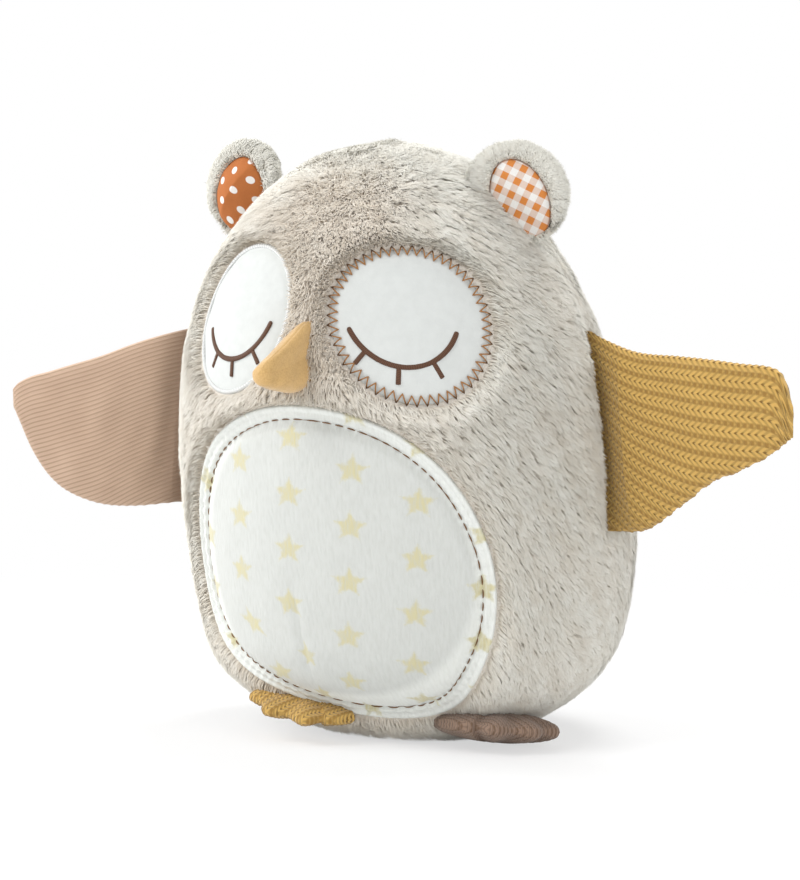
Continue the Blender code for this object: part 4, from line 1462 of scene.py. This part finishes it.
def knit_cloth(name, colour, arms, shaded_rows=(-2.0, -1.0), shading=0.0):
    """Ribbed knit in its own coordinates: ribs across, stitches along. Its colour holds painted shade in the
    valleys and holes, painted highlight on the rising arms, and painted shade up to some stitches from the
    root.
    """
    cloth = Cloth(name, roughness=0.95, sheen=0.2)
    rib, stitch, _ = cloth.weave_place()
    x = abs(cloth.maths("FRACT", rib) - 0.5)
    beat = cloth.maths("COSINE", (stitch - x * V_SLANT) * math.tau)
    lifted = beat.rise(-1.0, 0.6)
    loops = cloth.maths("COSINE", (stitch + 0.5) * math.tau).rise(-0.6, 0.9)
    valley = x.rise(0.27, 0.42) * (1.0 - loops * 0.55)
    hole = (1.0 - x.rise(0.03, 0.12)) * (1.0 - beat.rise(-0.8, 0.0))
    # Painted light and shade: the arms are paler where they rise and darker where they sink, and the valleys
    # between ribs and the holes between the arms are darker still.
    seen = cloth.ramp(
        lifted, (0.0, deeper(colour, 0.80)), (0.6, colour), (1.0, dyed(colour, 1.12, 1.12, 1.12))
    )
    deep = dyed(colour, 0.50, 0.44, 0.36)
    shaded = cloth.blend(valley * (0.9 if arms else 0.85), seen, deep)
    shaded = cloth.blend(hole * (0.8 if arms else 0.3), shaded, dyed(colour, 0.30, 0.24, 0.16))
    shaded = cloth.dimmed(shaded, cloth.grain(55.0, 4.0), (0.92, 0.91, 0.90))
    # Painted shade over the rows next to the root seam, for the seam's shadow line and the fold's shade.
    root_shade = (1.0 - stitch.rise(*shaded_rows)) * shading
    cloth.set("Base Color", cloth.blend(root_shade, shaded, dyed(colour, 0.34, 0.30, 0.26)))
    fibre = cloth.grain(2600.0, 2.0)
    height = lifted * (1.0 - valley * 0.6) + fibre * 0.35 - hole * 0.6
    cloth.bump(height, (0.5 if arms else 0.22) * MM, 0.8)
    return cloth.material


# Rows of a wing from root to tip: share of its length, then its top and bottom edges above the root
# seam's middle as shares of the seam's height.
LEFT_WING = (
    (0.00, 0.506, -0.495),
    (0.21, 0.418, -0.478),
    (0.43, 0.401, -0.335),
    (0.58, 0.390, -0.225),
    (0.74, 0.374, -0.154),
    (0.88, 0.363, -0.077),
    (0.95, 0.319, -0.022),
    (1.00, 0.165, 0.022),
)
RIGHT_WING = (
    (0.00, 0.500, -0.458),
    (0.17, 0.457, -0.478),
    (0.36, 0.391, -0.500),
    (0.54, 0.313, -0.495),
    (0.70, 0.258, -0.445),
    (0.81, 0.220, -0.363),
    (0.90, 0.192, -0.225),
    (0.97, 0.154, -0.050),
    (1.00, 0.116, 0.022),
)


class WingForm:
    """One padded wing, in shares of its length u and of its height v."""

    length = 96.5 * MM
    root_height = 91.0 * MM
    thickness = 15.0 * MM
    root_thickness = 1.7 * MM

    def __init__(self, name, sign, sweep, rows):
        joint = JOINTS["wing_" + name + "_fold"]
        angle = math.radians(sweep)
        self.out = np.array([sign * math.sin(angle), -math.cos(angle), 0.0])
        self.front = np.array([-sign * math.cos(angle), -math.sin(angle), 0.0])
        self.up = np.array([0.0, -0.09, 1.0])
        axis = np.array(joint["axis"])
        self.seam = axis / axis[2]
        self.root = np.array(joint["pos_m"]) - self.out * 1.1 * MM
        self.rows = smooth_rows(rows)
        self.sign = sign

    def edges(self, u):
        """The top and bottom edges at shares of the length."""
        return tuple(np.interp(u, self.rows[:, 0], self.rows[:, part]) for part in (1, 2))

    def at(self, u, v, forward):
        """Points of the wing at shares of its length and height, moved forward of its middle."""
        top, bottom = self.edges(np.clip(u, 0, 1))
        rise = (bottom + (top - bottom) * v) * self.root_height
        share = (1 - (1 - np.clip(u, 0, 1)) ** 2)[:, None]
        lean = self.seam * (1 - share) + self.up * share
        out = self.out * (self.length * u)[:, None]
        return self.root + out + lean * rise[:, None] + self.front * forward[:, None]

    def swell(self, u, v):
        """Half the wing's thickness, closing to nothing all round its edge."""
        span = np.clip(np.abs(2 * v - 1), 0, 1)
        inner = np.clip(u, 0, 1)
        plump = np.sqrt(np.maximum((1 - span**2.4) * (1 - inner**5), 0))
        grown = np.clip((inner * self.length - 1.1 * MM) / (13.0 * MM), 0, 1)
        thin = self.root_thickness / self.thickness
        full = (self.thickness * (thin + (1 - thin) * grown) - self.root_thickness) / 2
        edge = np.sqrt(np.clip((1 - span**30) * (1 - inner**50), 0, 1))
        return (self.root_thickness / 2) * edge + full * plump


class OWL_OT_wings(bpy.types.Operator):
    """Knits the covers of the two padded wings"""

    bl_idname = "owl.wings"
    bl_label = "Wings"

    def execute(self, context):
        self.wing("left", WingForm("left", 1, 80, LEFT_WING), True)
        self.wing("right", WingForm("right", -1, 71, RIGHT_WING), False)
        return {"FINISHED"}

    def wing(self, name, wing, chunky):
        """One wing's cover, which starts inside the body by a share of the wing's length."""
        inside = 0.055

        def split(u, v):
            """The share along the wing, the share up it and the side, 1 for the front face."""
            along = u * (1 + inside) - inside
            up = 1 - np.abs(2 * v - 1)
            return along, up, np.where(v < 0.5, 1.0, -1.0)

        def counts(u, v):
            """The ribs and stitches up to a place."""
            along, up, _ = split(u, v)
            top, bottom = wing.edges(np.clip(along, 0, 1))
            below = (top - bottom) * (1 - up) * wing.root_height
            if chunky:
                pitch = sizes().chunky_rib * (1.02 + 0.32 * ease(0.0, 0.6, along))
                beat = 2.6 * MM * (0.85 + 0.2 * along)
            else:
                pitch = sizes().fine_rib * (0.86 + 0.06 * ease(0.0, 0.6, along))
                beat = 0.95 * MM
            return below / pitch + 0.35, along * wing.length / beat

        def cover(u, v):
            along, up, side = split(u, v)
            flat = np.stack([along * 0.1, up * 0.09, side], axis=-1)
            thick = wing.swell(along, up)
            thick = thick * (1 + 0.16 * ripple(flat, 0.045, 71 + wing.sign) * ease(0.0, 0.3, along))
            if not chunky:
                fold = np.exp(-(((along - 0.13 - 0.08 * (1 - up)) / 0.075) ** 2)) * (side > 0)
                thick = thick * (1 - 0.45 * fold * np.sin(math.pi * np.clip(up, 0, 1)) ** 0.5)
            return wing.at(along, up, side * thick)

        def relief(u, v):
            along, up, _ = split(u, v)
            rib, stitch = counts(u, v)
            edge = ease(0.0, 0.035, along) * ease(1.0, 0.985, along)
            depth = 1.0 if chunky else 0.42
            return knit_height(rib, stitch, 1.0 if chunky else 0.0) * depth * MM * edge

        bm = mapped_grid(214, 400, raised(cover, relief, -wing.sign), counts)
        # The mustard knit gets a narrow painted shadow line at its root seam, the taupe knit a wide band of
        # painted fold shade.
        cloth = (
            knit_cloth("mustard_knit", colours().mustard, True, (0.3, 1.8), 0.45)
            if chunky
            else knit_cloth("taupe_knit", colours().taupe, False, (10.0, 30.0), 0.8)
        )
        nodes = ("wing_front_" + name, "wing_back_" + name)
        finish_mesh(bm, "wing_cover_" + name, cloth, "wing_" + name, nodes)


# Each foot's turn in degrees, its toe's reach as a share of the body's radius and height in
# millimetres, its pitch and roll in degrees, and its thickness in millimetres.
FEET = {
    "left": (66.0, 0.880, 10.2, -1.0, 6.0, 15.0),
    "right": (-24.5, 0.775, 14.6, 5.0, 9.5, 12.5),
}


class OWL_OT_feet(bpy.types.Operator):
    """Knits the two flat feet with their three toes"""

    bl_idname = "owl.feet"
    bl_label = "Feet"

    def execute(self, context):
        self.foot("left", knit_cloth("mauve_knit", colours().mauve, False), False)
        self.foot("right", knit_cloth("mustard_foot_knit", colours().mustard, True), True)
        return {"FINISHED"}

    def foot(self, name, cloth, chunky):
        """One foot's cover, an oval with three toes that is cut off behind the heel's seam."""
        turn, reach, height, pitch, roll, thickness = FEET[name]
        angle = math.radians(turn)
        reach = reach * sizes().body_radius
        toe = Vector((math.sin(angle) * reach, -math.cos(angle) * reach, height * MM))
        place_of = (
            Matrix.Translation(toe)
            @ Matrix.Rotation(angle, 4, "Z")
            @ Matrix.Rotation(math.radians(pitch), 4, "X")
            @ Matrix.Rotation(math.radians(roll), 4, "Y")
        )
        turned = np.array(place_of.to_3x3())
        length, width, thickness, thin = 56.0 * MM, 59.0 * MM, thickness * MM, 1.7 * MM

        def spots(u, v):
            spread = 1 - np.abs(2 * v - 1)
            around = math.tau * u
            fore = np.cos(around) > 0.5
            toes = 1 + 0.08 * np.cos(9 * around) * fore
            across = np.sin(around) * width / 2 * spread * toes
            along = (1 - np.cos(around) * spread * toes) * length / 2
            return across, along, spread, around, fore

        def place(u, v):
            across, along, spread, around, fore = spots(u, v)
            swell = np.sqrt(np.maximum(1 - spread**2, 0))
            closing = np.sqrt(np.clip(1 - spread**30, 0, 1))
            cleft = (0.5 - 0.5 * np.cos(9 * around)) * fore * spread**3
            rise = (thin * closing + (thickness - thin) * swell * (1 - 0.45 * cleft)) / 2
            side = np.where(v < 0.5, 1.0, -1.0)
            return np.array(toe) + np.stack([across, along, side * rise], axis=-1) @ turned.T

        def counts(u, v):
            across, along, _, _, _ = spots(u, v)
            if chunky:
                return across / (4.6 * MM) + 0.2, along / (2.3 * MM)
            return across / (2.5 * MM) + 0.2, along / (1.9 * MM)

        def relief(u, v):
            rib, stitch = counts(u, v)
            return knit_height(rib, stitch, 1.0) * (0.8 if chunky else 0.5) * MM

        bm = mapped_grid(230, 120, raised(place, relief), counts)
        joint = JOINTS["foot_" + name + "_flex"]
        hinge = Vector(joint["pos_m"])
        behind = hinge + place_of.to_3x3() @ Vector((0, 3.0 * MM, 0))
        whole = bm.verts[:] + bm.edges[:] + bm.faces[:]
        made = bmesh.ops.bisect_plane(
            bm, geom=whole, plane_co=behind, plane_no=place_of.to_3x3() @ Vector((0, 1, 0)), clear_outer=True
        )
        edges = [item for item in made["geom_cut"] if isinstance(item, bmesh.types.BMEdge)]
        bmesh.ops.holes_fill(bm, edges=edges)
        nodes = ("foot_upper_" + name, "foot_sole_" + name)
        finish_mesh(bm, "foot_cover_" + name, cloth, "foot_" + name, nodes)


class OWL_OT_filling(bpy.types.Operator):
    """Gives the hidden stuffing and the pellet bag their cloth"""

    bl_idname = "owl.filling"
    bl_label = "Filling"

    def execute(self, context):
        fluff = (0.74, 0.74, 0.72), (0.86, 0.86, 0.84)
        weave = (0.66, 0.59, 0.48), (0.78, 0.72, 0.62)
        batting = grained_cloth("loose_batting", 0.95, 0.0, 90.0, 5.0, *fluff, 1.2 * MM)
        calico = grained_cloth("plain_calico", 0.9, 0.0, 1400.0, 2.0, *weave, 0.15 * MM)
        for name, cloth in (
            ("body_stuffing", batting),
            ("wing_batting_left", batting),
            ("wing_batting_right", batting),
            ("pellet_bag", calico),
        ):
            mesh = frame["nodes"][name].data
            mesh.materials.clear()
            mesh.materials.append(cloth)
        return {"FINISHED"}


# Stage


class OWL_OT_stage(bpy.types.Operator):
    """Sets the camera, the soft lamps and the pale floor"""

    bl_idname = "owl.stage"
    bl_label = "Stage"

    def execute(self, context):
        scene = context.scene
        scene.view_settings.view_transform = "Standard"
        lens = bpy.data.cameras.new("photo_camera")
        lens.lens = 105.44
        lens.sensor_width = 36
        lens.clip_start = 0.01
        camera = bpy.data.objects.new("photo_camera", lens)
        spot = Vector((0.52313, -1.1105, 0.19154))
        facing = Euler([math.radians(angle) for angle in (87.5001, -1.4017, 25.4827)])
        camera.matrix_world = Matrix.LocRotScale(spot, facing, None)
        scene.collection.objects.link(camera)
        scene.camera = camera

        def lamp(name, spot, aim, size, watts):
            """A soft round lamp at a spot, aimed at another."""
            light = bpy.data.lights.new(name, "AREA")
            light.shape = "DISK"
            light.size = size
            light.energy = watts
            holder = bpy.data.objects.new(name, light)
            holder.location = spot
            holder.rotation_euler = (Vector(spot) - Vector(aim)).to_track_quat("Z", "Y").to_euler()
            scene.collection.objects.link(holder)

        lamp("key_lamp", (-0.8, -1.4, 1.6), (0, 0, 0.13), 1.1, 21)
        lamp("side_lamp", (-1.7, -0.3, 0.7), (0, 0, 0.13), 1.1, 15)
        lamp("fill_lamp", (1.6, -1.0, 0.7), (0, 0, 0.13), 1.2, 7)
        lamp("top_lamp", (0.1, 0.7, 1.9), (0, 0, 0.15), 1.0, 24)

        world = bpy.data.worlds.new("studio")
        scene.world = world
        sky = Nodes(world)
        lit = sky.tree.nodes["Background"]
        sky.join(lit.inputs["Color"], (1, 1, 1))
        sky.join(lit.inputs["Strength"], 0.62)
        seen = sky.add("ShaderNodeBackground", None, {"Color": (1, 1, 1)})
        values = {0: sky.plain_view(), 1: Signal(sky, lit.outputs[0]), 2: seen}
        mixed = sky.add("ShaderNodeMixShader", None, values)
        sky.join(sky.tree.nodes["World Output"].inputs[0], mixed)
        self.floor(scene)
        return {"FINISHED"}

    def floor(self, scene):
        """The floor, which keeps the owl's shadow and fades to the white backdrop."""
        mesh = bpy.data.meshes.new("floor")
        bm = bmesh.new()
        bmesh.ops.create_grid(bm, x_segments=1, y_segments=1, size=4)
        bm.to_mesh(mesh)
        bm.free()
        floor = bpy.data.objects.new("floor", mesh)
        scene.collection.objects.link(floor)
        paper = bpy.data.materials.new("pale_floor")
        nodes = Nodes(paper)
        base = nodes.tree.nodes["Principled BSDF"]
        nodes.join(base.inputs["Base Color"], (0.86, 0.86, 0.86))
        nodes.join(base.inputs["Roughness"], 0.9)
        glow = nodes.add("ShaderNodeEmission", None, {"Color": (1, 1, 1)})
        spot = nodes.add("ShaderNodeTexCoord", result="Object")
        far = nodes.add("ShaderNodeVectorMath", {"operation": "LENGTH"}, {0: spot}, "Value")
        part = nodes.plain_view() * far.rise(0.16, 0.75, 0.62)
        values = {0: part, 1: Signal(nodes, base.outputs[0]), 2: glow}
        mixed = nodes.add("ShaderNodeMixShader", None, values)
        nodes.join(nodes.tree.nodes["Material Output"].inputs[0], mixed)
        mesh.materials.append(paper)


class OWL_PT_panel(bpy.types.Panel):
    """Lists the owl's sewing steps, sizes and colours"""

    bl_label = "Plush Owl"
    bl_idname = "OWL_PT_panel"
    bl_space_type = "VIEW_3D"
    bl_region_type = "UI"
    bl_category = "Owl"

    def draw(self, context):
        column = self.layout.column()
        for step in STEPS:
            column.operator(step.bl_idname)
        for group in (context.scene.owl_sizes, context.scene.owl_colours):
            for name in group.bl_rna.properties.keys():
                if name not in ("rna_type", "name"):
                    column.prop(group, name)


STEPS = (
    OWL_OT_filling,
    OWL_OT_coat,
    OWL_OT_pile,
    OWL_OT_eyes,
    OWL_OT_belly,
    OWL_OT_beak,
    OWL_OT_ears,
    OWL_OT_wings,
    OWL_OT_feet,
    OWL_OT_stage,
)
CLASSES = (OwlSizes, OwlColours, *STEPS, OWL_PT_panel)


def register():
    for item in CLASSES:
        bpy.utils.register_class(item)
    bpy.types.Scene.owl_sizes = bpy.props.PointerProperty(type=OwlSizes)
    bpy.types.Scene.owl_colours = bpy.props.PointerProperty(type=OwlColours)


def unregister():
    del bpy.types.Scene.owl_colours
    del bpy.types.Scene.owl_sizes
    for item in reversed(CLASSES):
        bpy.utils.unregister_class(item)


def main():
    """Registers the classes and dresses the owl."""
    register()
    for step in STEPS:
        group, name = step.bl_idname.split(".")
        getattr(getattr(bpy.ops, group), name)()
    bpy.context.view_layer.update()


if __name__ == "__main__":
    main()
